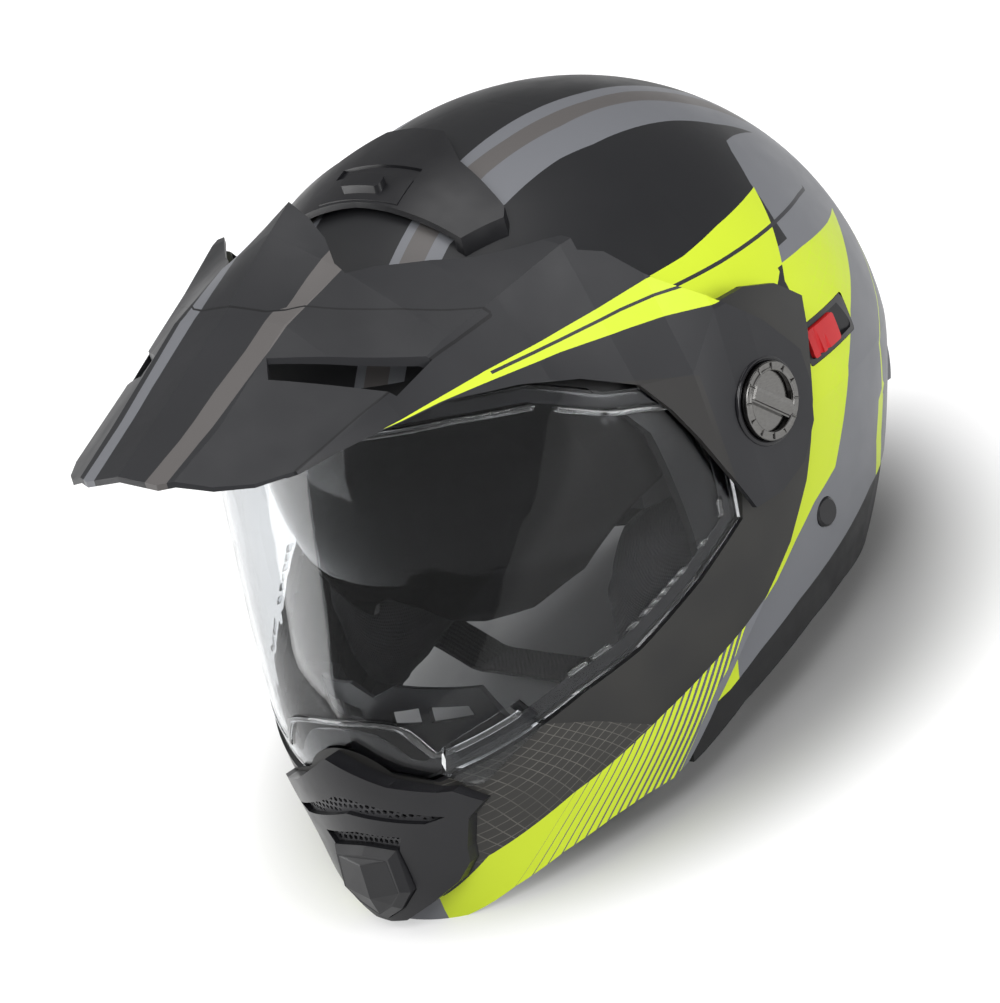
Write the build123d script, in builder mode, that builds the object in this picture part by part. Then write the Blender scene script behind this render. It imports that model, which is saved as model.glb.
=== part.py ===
from build123d import *
import os
from math import atan2, cos, degrees, radians, sin

# Modular adventure helmet. Wearer's frame while it is drawn: +X left, +Y back, +Z up, millimetres.
# At the end every piece is leaned back onto the chin and the rear trim, with the origin under the middle.

# Shell: an ellipsoid above its widest level and level ovals below it
half_width = 124.0
half_length = 152.0
crown_rise = 136.0
shell_wall = 4.0
fit_gap = 0.4
soft_gap = 0.4
overrun = 60.0

# Chin bar, shield and peak stack outside the shell at each side, around one axis
chin_wall = 3.3
shield_inset = 1.3
shield_wall = 2.0
shield_edge_gap = 0.8
recess_radius = 31.0
recess_face = 116.5
recess_floor = 3.0
cup_wall = 3.0
post_radius = 8.0
post_length = 3.0
post_flange = 12.0
post_flange_thick = 0.6
running_gap = 0.05
hub_radius = 30.5
hub_face = 117.0
hub_thick = 4.5
hub_rim_thick = 1.4
boss_radius = 20.0
ring_wall = 2.5
arm_radius = 26.0
arm_face = 121.8
arm_thick = 2.0
arm_pin_radius = 5.5
peak_wall = 2.4
peak_face = 128.6
peak_boss_radius = 13.0
knob_radius = 15.5
knob_thick = 3.6
knob_seat = 1.4
knob_shaft_radius = 3.5
knob_dish_share = 0.8
knob_bar = 7.0
knob_bar_turn = 40.0
chin_foam = 20.0
seal_height = 7.0
seal_lip = 4.0
seal_wall = 3.0
guard_inset = 24.2
guard_wall = 2.0
tab_proud = 3.0
mesh_sink = 2.6
mesh_wall = 1.4
lower_mesh_back = 147.4
toggle_travel = 5.0
toggle_back = 149.2
toggle_front = 155.5
toggle_chamfer = 3.0
toggle_gap = 0.35
button_depth = 8.0
button_radius = 3.8
button_length = 8.0
button_proud = 4.0
base_half = 14.0
base_deep = 12.0
base_high = 10.0

# Foam, pads and trim
foam_side = 32.0
foam_rear = 42.0
foam_top = 42.0
pad_thick = 9.0
trim_inset = 0.6
trim_depth = 12.0
visor_radius = 110.5
visor_reach = 110.0
visor_wall = 2.0
visor_pocket = 4.0
visor_pin_radius = 3.0
post_end = 3.6
visor_hub_radius = 12.0
seat_gap = 0.2
roll_gap = 0.3
cheek_faces = (64.0, 67.0, 74.0, 118.0)
cheek_insets = (8.0, 3.5, 0.0, 0.0)
strap_slot = 88.0
slot_room = 1.5
buckle_half = 3.0
pad_channel = 8.0
pad_backing = 3.0
brow_wide = 3.0
brow_proud = 1.2
brow_deep = 5.2
scoop_proud = 6.0
scoop_roof = 2.2
slider_half = 22.0
slider_long = 12.0
slider_travel = 6.0
slider_sink = 1.2
slider_nub = 3.0
slider_lift = 0.3
plug_radius = 6.0
plug_floor = 113.8
plug_face = 117.4
plug_edge_share = 0.15
guide_long = 39.0
guide_high = 16.0
guide_floor = 111.5
guide_wall = 2.0
guide_corner = 3.0
guide_gap = 0.2
lever_long = 22.0
lever_travel = 12.0
lever_proud = 1.6
lever_gap = 0.35
strap_wide = 22.0
strap_thick = 2.0

# Heights are shares of crown_rise, distances along Y are shares of half_length, across X of half_width
equator_share = 1.007
shell_middle_share = 0.112
pivot_share = (-0.007, 1.125)
shell_shares = [
    (0.000, 0.742, -0.138, 0.658),
    (0.110, 0.790, -0.105, 0.763),
    (0.294, 0.840, -0.060, 0.882),
    (0.478, 0.895, -0.007, 0.960),
    (0.662, 0.944, 0.040, 0.993),
    (0.846, 0.980, 0.079, 1.007),
    (equator_share, 1.0, shell_middle_share, 1.0),
]
face_shares = [
    (-0.140, 0.655, -0.205, 0.715),
    (0.037, 0.742, -0.171, 0.776),
    (0.147, 0.798, -0.132, 0.822),
    (0.294, 0.879, -0.053, 0.921),
    (0.441, 0.931, 0.013, 1.003),
    (0.588, 0.970, 0.059, 1.043),
    (0.735, 0.998, 0.086, 1.053),
    (0.919, 1.027, 0.086, 1.020),
    (1.103, 1.035, 0.079, 0.984),
    (1.287, 1.036, 0.079, 0.954),
    (1.500, 1.014, 0.079, 0.918),
]
# Side view outlines, (along, height)
eye_port_shares = [(-0.560, 1.449), (-0.400, 1.350), (-0.310, 1.170), (-0.280, 0.850), (-0.262, 0.550)]
shell_hem_shares = [(-0.400, 0.262), (-0.340, 0.280), (-0.230, 0.316), (-0.110, 0.382), (0.060, 0.456),
                    (0.263, 0.522), (0.493, 0.600), (0.724, 0.618), (1.250, 0.570)]
trim_hem_shares = [(-0.475, 0.100), (-0.330, 0.165), (-0.178, 0.250), (-0.033, 0.301), (0.125, 0.353),
                   (0.309, 0.385), (0.526, 0.385), (0.720, 0.330), (1.250, 0.300)]
chin_rear_shares = [(0.250, 1.330), (0.237, 1.228), (0.181, 1.037), (0.092, 0.824), (0.000, 0.676),
                    (-0.118, 0.551), (-0.205, 0.450), (-0.303, 0.324), (-0.395, 0.172)]
chin_low_shares = [(-0.440, 0.140), (-0.520, 0.127), (-0.605, 0.100), (-0.724, 0.044), (-0.822, -0.024),
                   (-0.895, -0.095), (-1.000, -0.120)]
chin_top_shares = [(-0.993, 0.500), (-0.967, 0.405), (-0.921, 0.364), (-0.882, 0.390), (-0.770, 0.449),
                   (-0.645, 0.522), (-0.493, 0.585), (-0.303, 0.706), (-0.150, 0.825)]
plate_top_shares = [(-0.050, 1.455), (0.040, 1.455), (0.150, 1.415)]
shield_top_shares = [(-0.150, 1.260), (-0.400, 1.340), (-0.550, 1.430), (-0.700, 1.450)]
chin_liner_shares = [(-0.500, 0.180), (-0.850, 0.020), (-2.000, 0.020), (-2.000, 0.300), (-0.880, 0.300),
                     (-0.480, 0.450)]
neck_hole_shares = [(0.300, 0.700, -0.060, 0.770), (0.360, 0.685, -0.040, 0.765),
                    (0.500, 0.650, 0.000, 0.760), (0.740, 0.775, 0.052, 0.860)]
neck_side_shares = [(0.180, 0.430), (0.310, 0.430), (0.526, 0.430), (1.300, 0.400), (1.300, 0.688),
                    (0.500, 0.688), (0.360, 0.600)]
cheek_shares = [(-0.400, 0.420), (-0.330, 0.260), (-0.120, 0.330), (0.140, 0.420), (0.330, 0.620),
                (0.280, 0.860), (0.000, 0.900), (-0.250, 0.860), (-0.380, 0.700)]
foam_side_shares = [(-0.46, 1.400), (-0.33, 1.250), (-0.29, 0.920), (0.30, 0.900), (0.42, 0.700),
                    (1.300, 0.700)]
pocket_share = 0.237
crown_pad_share = 1.290
brow_shares = [(-0.402, 1.346), (-0.560, 1.446)]
rest_share = ((-0.908, -0.096), (0.737, 0.338))
# Peak: along, ridge height, then foot, crease, flank and hem as (across, height)
peak_shares = [
    (-1.480, 1.520, (0.20, 1.495), (0.40, 1.395), (0.46, 1.330), (0.50, 1.00)),
    (-1.217, 1.662, (0.24, 1.615), (0.50, 1.478), (0.52, 1.400), (0.53, 1.10)),
    (-0.921, 1.821, (0.25, 1.785), (0.59, 1.574), (0.65, 1.496), (0.71, 1.18)),
    (-0.704, 1.963, (0.275, 1.850), (0.653, 1.654), (0.76, 1.489), (0.84, 1.18)),
    (-0.553, 2.051, (0.306, 1.868), (0.71, 1.699), (0.84, 1.449), (0.90, 1.14)),
    (-0.355, 2.096, (0.323, 1.882), (0.79, 1.765), (0.95, 1.338), (1.00, 0.96)),
    (-0.197, 2.100, (0.323, 1.900), (0.85, 1.790), (1.005, 1.300), (1.065, 0.80)),
    (-0.100, 2.100, (0.323, 1.900), (0.92, 1.780), (1.047, 1.450), (1.060, 0.79)),
    (0.000, 2.100, (0.323, 1.900), (0.95, 1.760), (1.060, 1.450), (1.060, 0.77)),
    (0.300, 2.100, (0.323, 1.900), (0.95, 1.760), (1.060, 1.450), (1.060, 0.77)),
]
peak_low_shares = [(-1.224, 1.472), (-1.092, 1.488), (-0.967, 1.498), (-0.800, 1.507), (-0.625, 1.471),
                   (-0.480, 1.419), (-0.349, 1.338), (-0.288, 1.232), (-0.240, 1.118), (-0.200, 1.000),
                   (-0.148, 0.862), (-0.040, 0.860), (0.066, 0.902), (0.138, 0.993), (0.164, 1.103),
                   (0.158, 1.206), (0.053, 1.346), (-0.079, 1.471), (-0.178, 1.581), (-0.263, 1.703),
                   (-0.322, 1.735)]
peak_under_share = 1.400
peak_fold_share = 1.500
# Plan outlines, (across, along)
peak_rear_shares = [(0.0, -0.612), (0.08, -0.620), (0.16, -0.645), (0.24, -0.697), (0.29, -0.707),
                    (0.34, -0.641), (0.46, -0.544), (0.565, -0.478), (0.67, -0.398), (0.766, -0.322),
                    (0.84, -0.263)]
peak_front_shares = [(0.0, -1.408), (0.16, -1.405), (0.32, -1.345), (0.42, -1.282), (0.50, -1.200)]
slot_shares = [(0.254, -1.013), (0.645, -0.770), (0.613, -0.895), (0.290, -1.053)]
scoop_shares = [(0.0, -0.395), (0.235, -0.401), (0.431, -0.401), (0.508, -0.296), (0.492, -0.270),
                (0.387, -0.240), (0.274, -0.210), (0.129, -0.122), (0.0, -0.118)]
mouth_shares = [(0.0, -0.500), (0.400, -0.500), (0.400, -0.310), (0.180, -0.240), (0.0, -0.240)]
slider_share = -0.350
# Front view outlines, (across, height)
rear_cover_shares = [(0.0, 1.190), (0.280, 1.150), (0.480, 1.020), (0.520, 0.850), (0.440, 0.690),
                     (0.280, 0.650), (0.0, 0.650)]
rear_slot_shares = [(0.12, 0.800), (0.34, 0.820), (0.38, 0.740), (0.12, 0.720)]
guard_shares = [(0.0, 0.563), (0.100, 0.600), (0.360, 0.563), (0.460, 0.304), (0.0, 0.304)]
guard_slots = [[(0.060, 0.480), (0.060, 0.520), (0.170, 0.530), (0.170, 0.480)],
               [(0.200, 0.480), (0.200, 0.530), (0.320, 0.515), (0.330, 0.480)]]
tab_root_shares = [(0.400, 0.430), (0.385, 0.480), (0.580, 0.560), (0.610, 0.500)]
tab_lip_shares = [(0.360, 0.400), (0.385, 0.480), (0.580, 0.560), (0.620, 0.465), (0.460, 0.345),
                  (0.420, 0.345)]
window_shares = [(0.0, 0.365), (0.330, 0.265), (0.265, 0.252), (0.0, 0.300)]
lower_window_shares = [(0.0, 0.235), (0.170, 0.215), (0.140, 0.160), (0.0, 0.165)]
toggle_shares = [(0.0, 0.180), (0.140, 0.175), (0.150, 0.040), (0.085, -0.020), (0.0, -0.060)]
vent_cover_shares = [(0.0, 0.485), (0.20, 0.390), (0.34, 0.350), (0.38, 0.345), (0.44, 0.290),
                     (0.385, 0.245), (0.345, 0.150), (0.335, 0.100), (0.285, 0.045), (0.18, -0.015), (0.07, -0.068),
                     (0.0, -0.075)]
cover_growth_shares = (-0.050, 0.055)
visor_low_shares = [(0.0, 0.800), (0.10, 0.765), (0.18, 0.706), (0.28, 0.692), (0.44, 0.715), (0.60, 0.800),
                    (0.74, 0.940), (0.84, 1.030), (1.0, 1.040)]
visor_top_shares = [(1.0, 1.215), (0.84, 1.235), (0.74, 1.300), (0.64, 1.340), (0.0, 1.350)]

# Rear cover form: across, along, rise, height of its middle
rear_form_share = (0.847, 1.080, 0.920, 0.846)
guide_share = (0.375, 1.165)
plug_share = (0.197, 0.669)
button_share = (-0.855, -0.030)
strap_shares = [(0.765, 0.412), (0.738, 0.334), (0.500, 0.225), (0.000, 0.205), (-0.360, 0.210)]
strap_along_share = -0.020
seal_end_share = (-0.320, 0.690)
trim_front_share = -0.365
strap_slot_share = 0.460
channel_shares = (-0.350, 0.000, 0.350)

pivot_y = half_length * pivot_share[0]
pivot_z = crown_rise * pivot_share[1]
shell_y = half_length * shell_middle_share
equator_z = crown_rise * equator_share


def side_points(shares):
    """Points of a side view outline, in the YZ plane."""
    return [(half_length * along, crown_rise * height) for along, height in shares]


def plan_points(shares, side=1):
    return [(side * half_width * across, half_length * along) for across, along in shares]


def front_points(shares, side=1):
    return [(side * half_width * across, crown_rise * height) for across, height in shares]


def mirrored(points):
    """A left half outline from its middle point outwards, closed by its right half."""
    return points + [(-x, y) for x, y in reversed(points) if x]


def oval_body(stations, grow=0):
    """Solid through level ovals, every radius larger by grow."""
    with BuildPart() as body:
        for height, across, middle, along in stations:
            with BuildSketch(Plane.XY.offset(crown_rise * height)):
                with Locations((0, half_length * middle)):
                    Ellipse(half_width * across + grow, half_length * along + grow)
        loft()
    return body.part


def ellipsoid(across, along, rise, middle_y, middle_z):
    """Whole ellipsoid, turned about Z and stretched to its three radii."""
    with BuildPart() as body:
        with BuildSketch(Plane.XZ):
            Circle(across)
            with Locations((-across / 2, 0)):
                Rectangle(across, 2 * across, mode=Mode.SUBTRACT)
        revolve(axis=Axis.Z)
        scale(by=(1, along / across, rise / across))
    return body.part.moved(Location((0, middle_y, middle_z)))


def dome(grow=0):
    """Upper half of the shell's outer form, every radius larger by grow."""
    whole = ellipsoid(half_width + grow, half_length + grow, crown_rise + grow, shell_y, equator_z)
    with BuildPart() as body:
        add(whole)
        split(bisect_by=Plane.XY.offset(equator_z), keep=Keep.TOP)
    return body.part


def shell_body(grow=0):
    with BuildPart() as body:
        add(oval_body(shell_shares, grow))
        add(dome(grow))
    return body.part


def side_prism(points, reach=3):
    """Prism along X on a side view outline."""
    with BuildPart() as body:
        with BuildSketch(Plane.YZ):
            with BuildLine():
                Polyline(*points, close=True)
            make_face()
        extrude(amount=half_width * reach / 2, both=True)
    return body.part


def axis_disc(radius, start, end, side, y=pivot_y, z=pivot_z):
    """Disc about a line along X, between two distances from the middle plane."""
    with BuildPart() as body:
        with BuildSketch(Plane.YZ.offset(side * start)):
            with Locations((y, z)):
                Circle(radius)
        extrude(amount=side * (end - start))
    return body.part


def guide_block(floor, grow=0, wall=0):
    """Rounded block along X over the sun visor's lever, outwards from a distance off the middle plane."""
    with BuildPart() as body:
        with BuildSketch(Plane.YZ.offset(floor)):
            with Locations((half_length * guide_share[0], crown_rise * guide_share[1])):
                RectangleRounded(guide_long + 2 * grow - 2 * wall, guide_high + 2 * grow - 2 * wall,
                                 guide_corner / 2)
        extrude(amount=half_width + overrun - floor)
    return body.part


def plan_prism(points):
    """Upright prism through the upper half, on a plan outline."""
    with BuildPart() as body:
        with BuildSketch(Plane.XY.offset(crown_rise)):
            with BuildLine():
                Polyline(*points, close=True)
            make_face()
        extrude(amount=far_up)
    return body.part


def front_prism(points, start=0, amount=3 * half_length, inset=0):
    """Prism forwards from a plane across the helmet, on a front view outline drawn in by inset."""
    with BuildPart() as body:
        with BuildSketch(Plane.XZ.offset(start)):
            with BuildLine():
                Polyline(*points, close=True)
            make_face()
            if inset:
                offset(amount=-inset, kind=Kind.INTERSECTION)
        extrude(amount=amount)
    return body.part


sides = {"left": 1, "right": -1}
pieces = []


def finish(piece, label):
    piece.part.label = label
    pieces.append(piece.part)


# Plane under the chin and the rear trim on which the helmet stands
rest_front, rest_rear = side_points(rest_share)
stand_lean = degrees(atan2(rest_rear[1] - rest_front[1], rest_rear[0] - rest_front[0]))
rest_plane = Plane(origin=(0, *rest_front), x_dir=(1, 0, 0),
                   z_dir=(0, -sin(radians(stand_lean)), cos(radians(stand_lean))))

# Outlines shared by neighbouring pieces
far_back = half_length + overrun
far_up = 2 * crown_rise + overrun
far_front = -2 * half_length
far_down = -overrun
port_line = side_points(eye_port_shares)
hem_line = side_points(shell_hem_shares)
trim_line = side_points(trim_hem_shares)
plug_y = half_length * plug_share[0]
plug_z = crown_rise * plug_share[1]
guide_y = half_length * guide_share[0]
guide_z = crown_rise * guide_share[1]
strap_y = half_length * strap_along_share
shell_dome = ellipsoid(half_width, half_length, crown_rise, shell_y, equator_z)
shell_outline = hem_line + [(far_back, hem_line[-1][1]), (far_back, far_up), (far_front, far_up)]
shell_outline += [(far_front, port_line[0][1])] + port_line

# Shell, with a deep recess at each side for the chin bar's hub
with BuildPart() as shell_room:
    add(shell_body(-shell_wall))
    for side in sides.values():
        add(axis_disc(recess_radius + cup_wall, recess_face - recess_floor, half_width, side),
            mode=Mode.SUBTRACT)
with BuildPart() as outer_shell:
    add(shell_body())
    add(shell_room.part, mode=Mode.SUBTRACT)
    add(side_prism(shell_outline), mode=Mode.INTERSECT)
    for side in sides.values():
        add(axis_disc(recess_radius, recess_face, half_width + overrun, side), mode=Mode.SUBTRACT)
        add(axis_disc(post_radius + running_gap, 0, half_width, side), mode=Mode.SUBTRACT)
        add(axis_disc(plug_radius + seat_gap, plug_floor, half_width, side, plug_y, plug_z),
            mode=Mode.SUBTRACT)
    add(guide_block(half_width / 2, guide_gap), mode=Mode.SUBTRACT)
finish(outer_shell, "outer_shell")

# Screw covers low on each side
for name, side in sides.items():
    with BuildPart() as side_plug:
        add(axis_disc(plug_radius, plug_floor + seat_gap / 2, plug_face, side, plug_y, plug_z))
        outer_face = side_plug.faces().sort_by(Axis.X)[-1 if side > 0 else 0]
        chamfer(outer_face.edges(), plug_radius * plug_edge_share)
    finish(side_plug, f"side_plug_{name}")

# Lever of the sun visor, sliding in a tray let into the shell's left side
with BuildPart() as lever_guide:
    add(guide_block(guide_floor))
    add(shell_dome, mode=Mode.INTERSECT)
    add(guide_block(guide_floor + guide_wall, 0, guide_wall), mode=Mode.SUBTRACT)
finish(lever_guide, "lever_guide")

lever_start = guide_y - guide_long / 2 + guide_wall + lever_gap
with BuildPart() as visor_lever:
    with BuildSketch(Plane.YZ.offset(guide_floor + guide_wall + lever_gap / 2)):
        with Locations((lever_start + lever_long / 2, guide_z)):
            RectangleRounded(lever_long, guide_high - 2 * guide_wall - 2 * lever_gap, guide_corner / 2)
    extrude(amount=half_width / 2)
    add(ellipsoid(half_width + lever_proud, half_length + lever_proud, crown_rise + lever_proud,
                  shell_y, equator_z), mode=Mode.INTERSECT)
    with BuildSketch(Plane.XY.offset(guide_z - guide_high)):
        with GridLocations(0, lever_long / 4, 1, 3):
            with Locations((half_width - lever_proud, lever_start + lever_long / 2)):
                Circle(lever_proud)
    extrude(amount=2 * guide_high, mode=Mode.SUBTRACT)
finish(visor_lever, "visor_lever")

# Steel posts that carry the chin bar outside and the sun visor inside
inner_cup = recess_face - recess_floor
for name, side in sides.items():
    with BuildPart() as post:
        add(axis_disc(post_flange, inner_cup - post_flange_thick, inner_cup, side))
        add(axis_disc(post_radius, inner_cup, recess_face + post_length, side))
        add(axis_disc(visor_pin_radius + 2 * visor_wall, visor_reach + fit_gap, inner_cup, side))
        add(axis_disc(visor_pin_radius, visor_reach - post_end, inner_cup, side))
    finish(post, f"pivot_post_{name}")

# Foam liner: fills the shell, hollowed for the head and relieved in front for the sun visor
visor_space = ellipsoid(visor_reach - visor_pocket, visor_radius - visor_pocket, visor_radius - visor_pocket,
                        pivot_y, pivot_z)
cavity = ellipsoid(half_width - foam_side, half_length - foam_rear, crown_rise - foam_top, shell_y,
                   equator_z)
pocket_end = half_length * pocket_share
foam_line = side_points(foam_side_shares)
foam_outline = foam_line + [(far_back, foam_line[-1][1]), (far_back, far_up), (far_front, far_up)]
foam_outline += [(far_front, foam_line[0][1])]
with BuildPart() as front_relief:
    with BuildSketch(Plane.XZ.offset(-pocket_end)):
        with Locations((0, crown_rise)):
            Rectangle(3 * half_width, 3 * crown_rise)
    extrude(amount=2 * half_length)
    add(visor_space, mode=Mode.SUBTRACT)
with BuildPart() as impact_liner:
    add(shell_body(-shell_wall - fit_gap))
    add(cavity, mode=Mode.SUBTRACT)
    add(side_prism(foam_outline), mode=Mode.INTERSECT)
    add(front_relief.part, mode=Mode.SUBTRACT)
    add(guide_block(guide_floor - fit_gap, guide_gap), mode=Mode.SUBTRACT)
finish(impact_liner, "impact_liner")

# Chin bar: wall of the lower face with a plate round each pivot, and a hub in the shell's recess
chin_rear = side_points(chin_rear_shares)
chin_low = side_points(chin_low_shares)
chin_top = side_points(chin_top_shares)
plate_top = side_points(plate_top_shares)
arm_top = arm_face + arm_thick + fit_gap


def hub_ring(side):
    """Rear half of the wall that joins the hub to the plate over it."""
    with BuildPart() as body:
        add(axis_disc(hub_radius, hub_face, arm_top + fit_gap, side))
        add(axis_disc(hub_radius - ring_wall, 0, half_width + overrun, side), mode=Mode.SUBTRACT)
        split(bisect_by=Plane.XZ.offset(-pivot_y - ring_wall), keep=Keep.BOTTOM)
    return body.part


chin_outline = plate_top + chin_rear + chin_low
chin_outline += [(far_front, chin_low[-1][1]), (far_front, chin_top[0][1])] + chin_top
with BuildPart() as chin_bar:
    add(oval_body(face_shares))
    add(side_prism(chin_outline), mode=Mode.INTERSECT)
    add(oval_body(face_shares, -chin_wall), mode=Mode.SUBTRACT)
    for side in sides.values():
        add(axis_disc(hub_radius, half_width / 2, arm_top, side), mode=Mode.SUBTRACT)
        add(axis_disc(hub_radius, hub_face, hub_face + hub_rim_thick, side))
        add(axis_disc(boss_radius, hub_face, hub_face + hub_thick, side))
        add(hub_ring(side))
        add(axis_disc(arm_pin_radius, hub_face, arm_top - seat_gap, side))
        add(axis_disc(knob_shaft_radius + running_gap, hub_face + hub_thick, half_width, side),
            mode=Mode.SUBTRACT)
        add(axis_disc(peak_boss_radius + fit_gap, arm_top - seat_gap, half_width + overrun, side),
            mode=Mode.SUBTRACT)
        add(axis_disc(post_radius + running_gap, hub_face, recess_face + post_length + fit_gap, side),
            mode=Mode.SUBTRACT)
    split(bisect_by=rest_plane, keep=Keep.TOP)
finish(chin_bar, "chin_bar")


# Chin bar foam, window seal and breath guard
liner_outline = side_points(chin_liner_shares)
with BuildPart() as chin_liner:
    add(oval_body(face_shares, -chin_wall - soft_gap))
    add(oval_body(face_shares, -chin_wall - chin_foam), mode=Mode.SUBTRACT)
    add(side_prism(liner_outline), mode=Mode.INTERSECT)
finish(chin_liner, "chin_liner")

seal_line = chin_top[:-2] + side_points([seal_end_share])
seal_low = [(y, z - seal_height) for y, z in seal_line]
seal_high = [(y, z + seal_lip) for y, z in seal_line]
seal_outline = seal_low + seal_high[::-1]
with BuildPart() as window_seal:
    add(oval_body(face_shares, -chin_wall - soft_gap))
    add(side_prism([(far_front, seal_low[0][1])] + seal_outline + [(far_front, seal_high[0][1])]),
        mode=Mode.INTERSECT)
    add(oval_body(face_shares, -chin_wall - soft_gap - seal_wall), mode=Mode.SUBTRACT)
finish(window_seal, "window_seal")

with BuildPart() as breath_guard:
    add(oval_body(face_shares, -guard_inset))
    add(front_prism(mirrored(front_points(guard_shares))), mode=Mode.INTERSECT)
    add(oval_body(face_shares, -guard_inset - guard_wall), mode=Mode.SUBTRACT)
    for side in sides.values():
        for outline in guard_slots:
            add(front_prism(front_points(outline, side)), mode=Mode.SUBTRACT)
finish(breath_guard, "breath_guard")

# Face shield: one curved window with an arm plate on each pivot
shield_low = [(y, z + shield_edge_gap) for y, z in chin_top]
shield_outline = [(far_front, shield_low[0][1] + shield_edge_gap)] + shield_low
shield_outline += side_points(shield_top_shares)
shield_outline += [(far_front, shield_outline[-1][1])]
with BuildPart() as tab_root:
    add(oval_body(face_shares, tab_proud))
    add(front_prism(front_points(tab_root_shares)), mode=Mode.INTERSECT)
    add(oval_body(face_shares, -shield_inset - shield_wall / 2), mode=Mode.SUBTRACT)
with BuildPart() as shield_tab:
    add(oval_body(face_shares, tab_proud))
    add(front_prism(front_points(tab_lip_shares)), mode=Mode.INTERSECT)
    add(oval_body(face_shares, shield_edge_gap), mode=Mode.SUBTRACT)
    add(tab_root.part)
with BuildPart() as face_shield:
    add(oval_body(face_shares, -shield_inset))
    add(side_prism(shield_outline), mode=Mode.INTERSECT)
    add(oval_body(face_shares, -shield_inset - shield_wall), mode=Mode.SUBTRACT)
    add(shield_tab.part)
    for side in sides.values():
        add(axis_disc(3 * arm_radius, arm_face + arm_thick, half_width + overrun, side), mode=Mode.SUBTRACT)
        add(axis_disc(arm_radius, arm_face, arm_face + arm_thick, side))
        add(axis_disc(arm_pin_radius + running_gap, 0, half_width + overrun, side), mode=Mode.SUBTRACT)
finish(face_shield, "face_shield")

# Sun visor: part of an ellipsoid about the pivot axis, so that it slides up inside the shell
visor_front = mirrored(front_points(visor_low_shares) + front_points(visor_top_shares))
with BuildPart() as sun_visor:
    add(ellipsoid(visor_reach, visor_radius, visor_radius, pivot_y, pivot_z))
    add(ellipsoid(visor_reach - visor_wall, visor_radius - visor_wall, visor_radius - visor_wall,
                  pivot_y, pivot_z), mode=Mode.SUBTRACT)
    with BuildSketch(Plane.XZ.offset(-pivot_y)):
        with BuildLine():
            Polyline(*visor_front, close=True)
        make_face()
    extrude(amount=2 * half_length, mode=Mode.INTERSECT)
    for side in sides.values():
        add(axis_disc(visor_hub_radius, visor_reach - visor_wall, visor_reach, side))
        add(axis_disc(visor_pin_radius + running_gap, half_width / 2, half_width, side), mode=Mode.SUBTRACT)
finish(sun_visor, "sun_visor")


# Peak: a folded sheet with a centre hump, open air slots and an arm down each side to the pivot
def peak_skin(drop):
    """Solid under the peak's surface, its top lowered and its sides drawn in by drop."""
    with BuildPart() as body:
        for along, ridge, foot, crease, flank, hem in peak_shares:
            half = [(0, crown_rise * ridge - drop)]
            half.append((half_width * foot[0], crown_rise * foot[1] - drop))
            half += [(half_width * x - drop, crown_rise * z - drop * (z > peak_fold_share))
                     for x, z in (crease, flank, hem)]
            with BuildSketch(Plane.XZ.offset(-half_length * along)):
                with BuildLine():
                    Polyline(*mirrored(half), close=True)
                make_face()
        loft(ruled=True)
    return body.part


peak_low = side_points(peak_low_shares)
peak_side = [(far_front, crown_rise * peak_under_share)] + peak_low
peak_side += [(peak_low[-1][0], far_up), (far_front, far_up)]
peak_rear = mirrored(plan_points(peak_rear_shares) + [(half_width * peak_rear_shares[-1][0], far_back)])
peak_front = mirrored(plan_points(peak_front_shares) + [(2 * half_width, peak_low[0][0]),
                                                        (2 * half_width, far_front)])
with BuildPart() as peak:
    add(peak_skin(0))
    add(peak_skin(peak_wall), mode=Mode.SUBTRACT)
    add(side_prism(peak_side), mode=Mode.INTERSECT)
    with BuildSketch():
        for outline in (peak_rear, peak_front):
            with BuildLine():
                Polyline(*outline, close=True)
            make_face()
        for side in sides.values():
            with BuildLine():
                Polyline(*plan_points(slot_shares, side), close=True)
            make_face()
    extrude(amount=far_up, mode=Mode.SUBTRACT)
    for side in sides.values():
        add(axis_disc(arm_radius + ring_wall, half_width / 2, arm_top, side), mode=Mode.SUBTRACT)
        add(axis_disc(peak_boss_radius, arm_top, peak_face + peak_wall, side))
        add(axis_disc(knob_radius + fit_gap, peak_face + peak_wall - knob_seat, half_width + overrun, side),
            mode=Mode.SUBTRACT)
        add(axis_disc(knob_shaft_radius + running_gap, half_width / 2, half_width + overrun, side),
            mode=Mode.SUBTRACT)
finish(peak, "peak")

# Cam knobs: a disc with a grip bar and a shaft down to the chin bar's hub
knob_face = peak_face + peak_wall - knob_seat + soft_gap
for name, side in sides.items():
    with BuildPart() as knob:
        add(axis_disc(knob_radius, knob_face, knob_face + knob_thick, side))
        add(axis_disc(knob_radius * knob_dish_share, knob_face + knob_thick / 2, knob_face + knob_thick,
                      side), mode=Mode.SUBTRACT)
        with BuildSketch(Plane.YZ.offset(side * (knob_face + knob_thick / 2))):
            with Locations((pivot_y, pivot_z)):
                Rectangle(2 * knob_radius * knob_dish_share, knob_bar, rotation=-side * knob_bar_turn)
        extrude(amount=side * knob_thick / 2)
        add(axis_disc(knob_shaft_radius, hub_face + hub_thick + fit_gap, knob_face, side))
    finish(knob, f"peak_knob_{name}")


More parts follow.
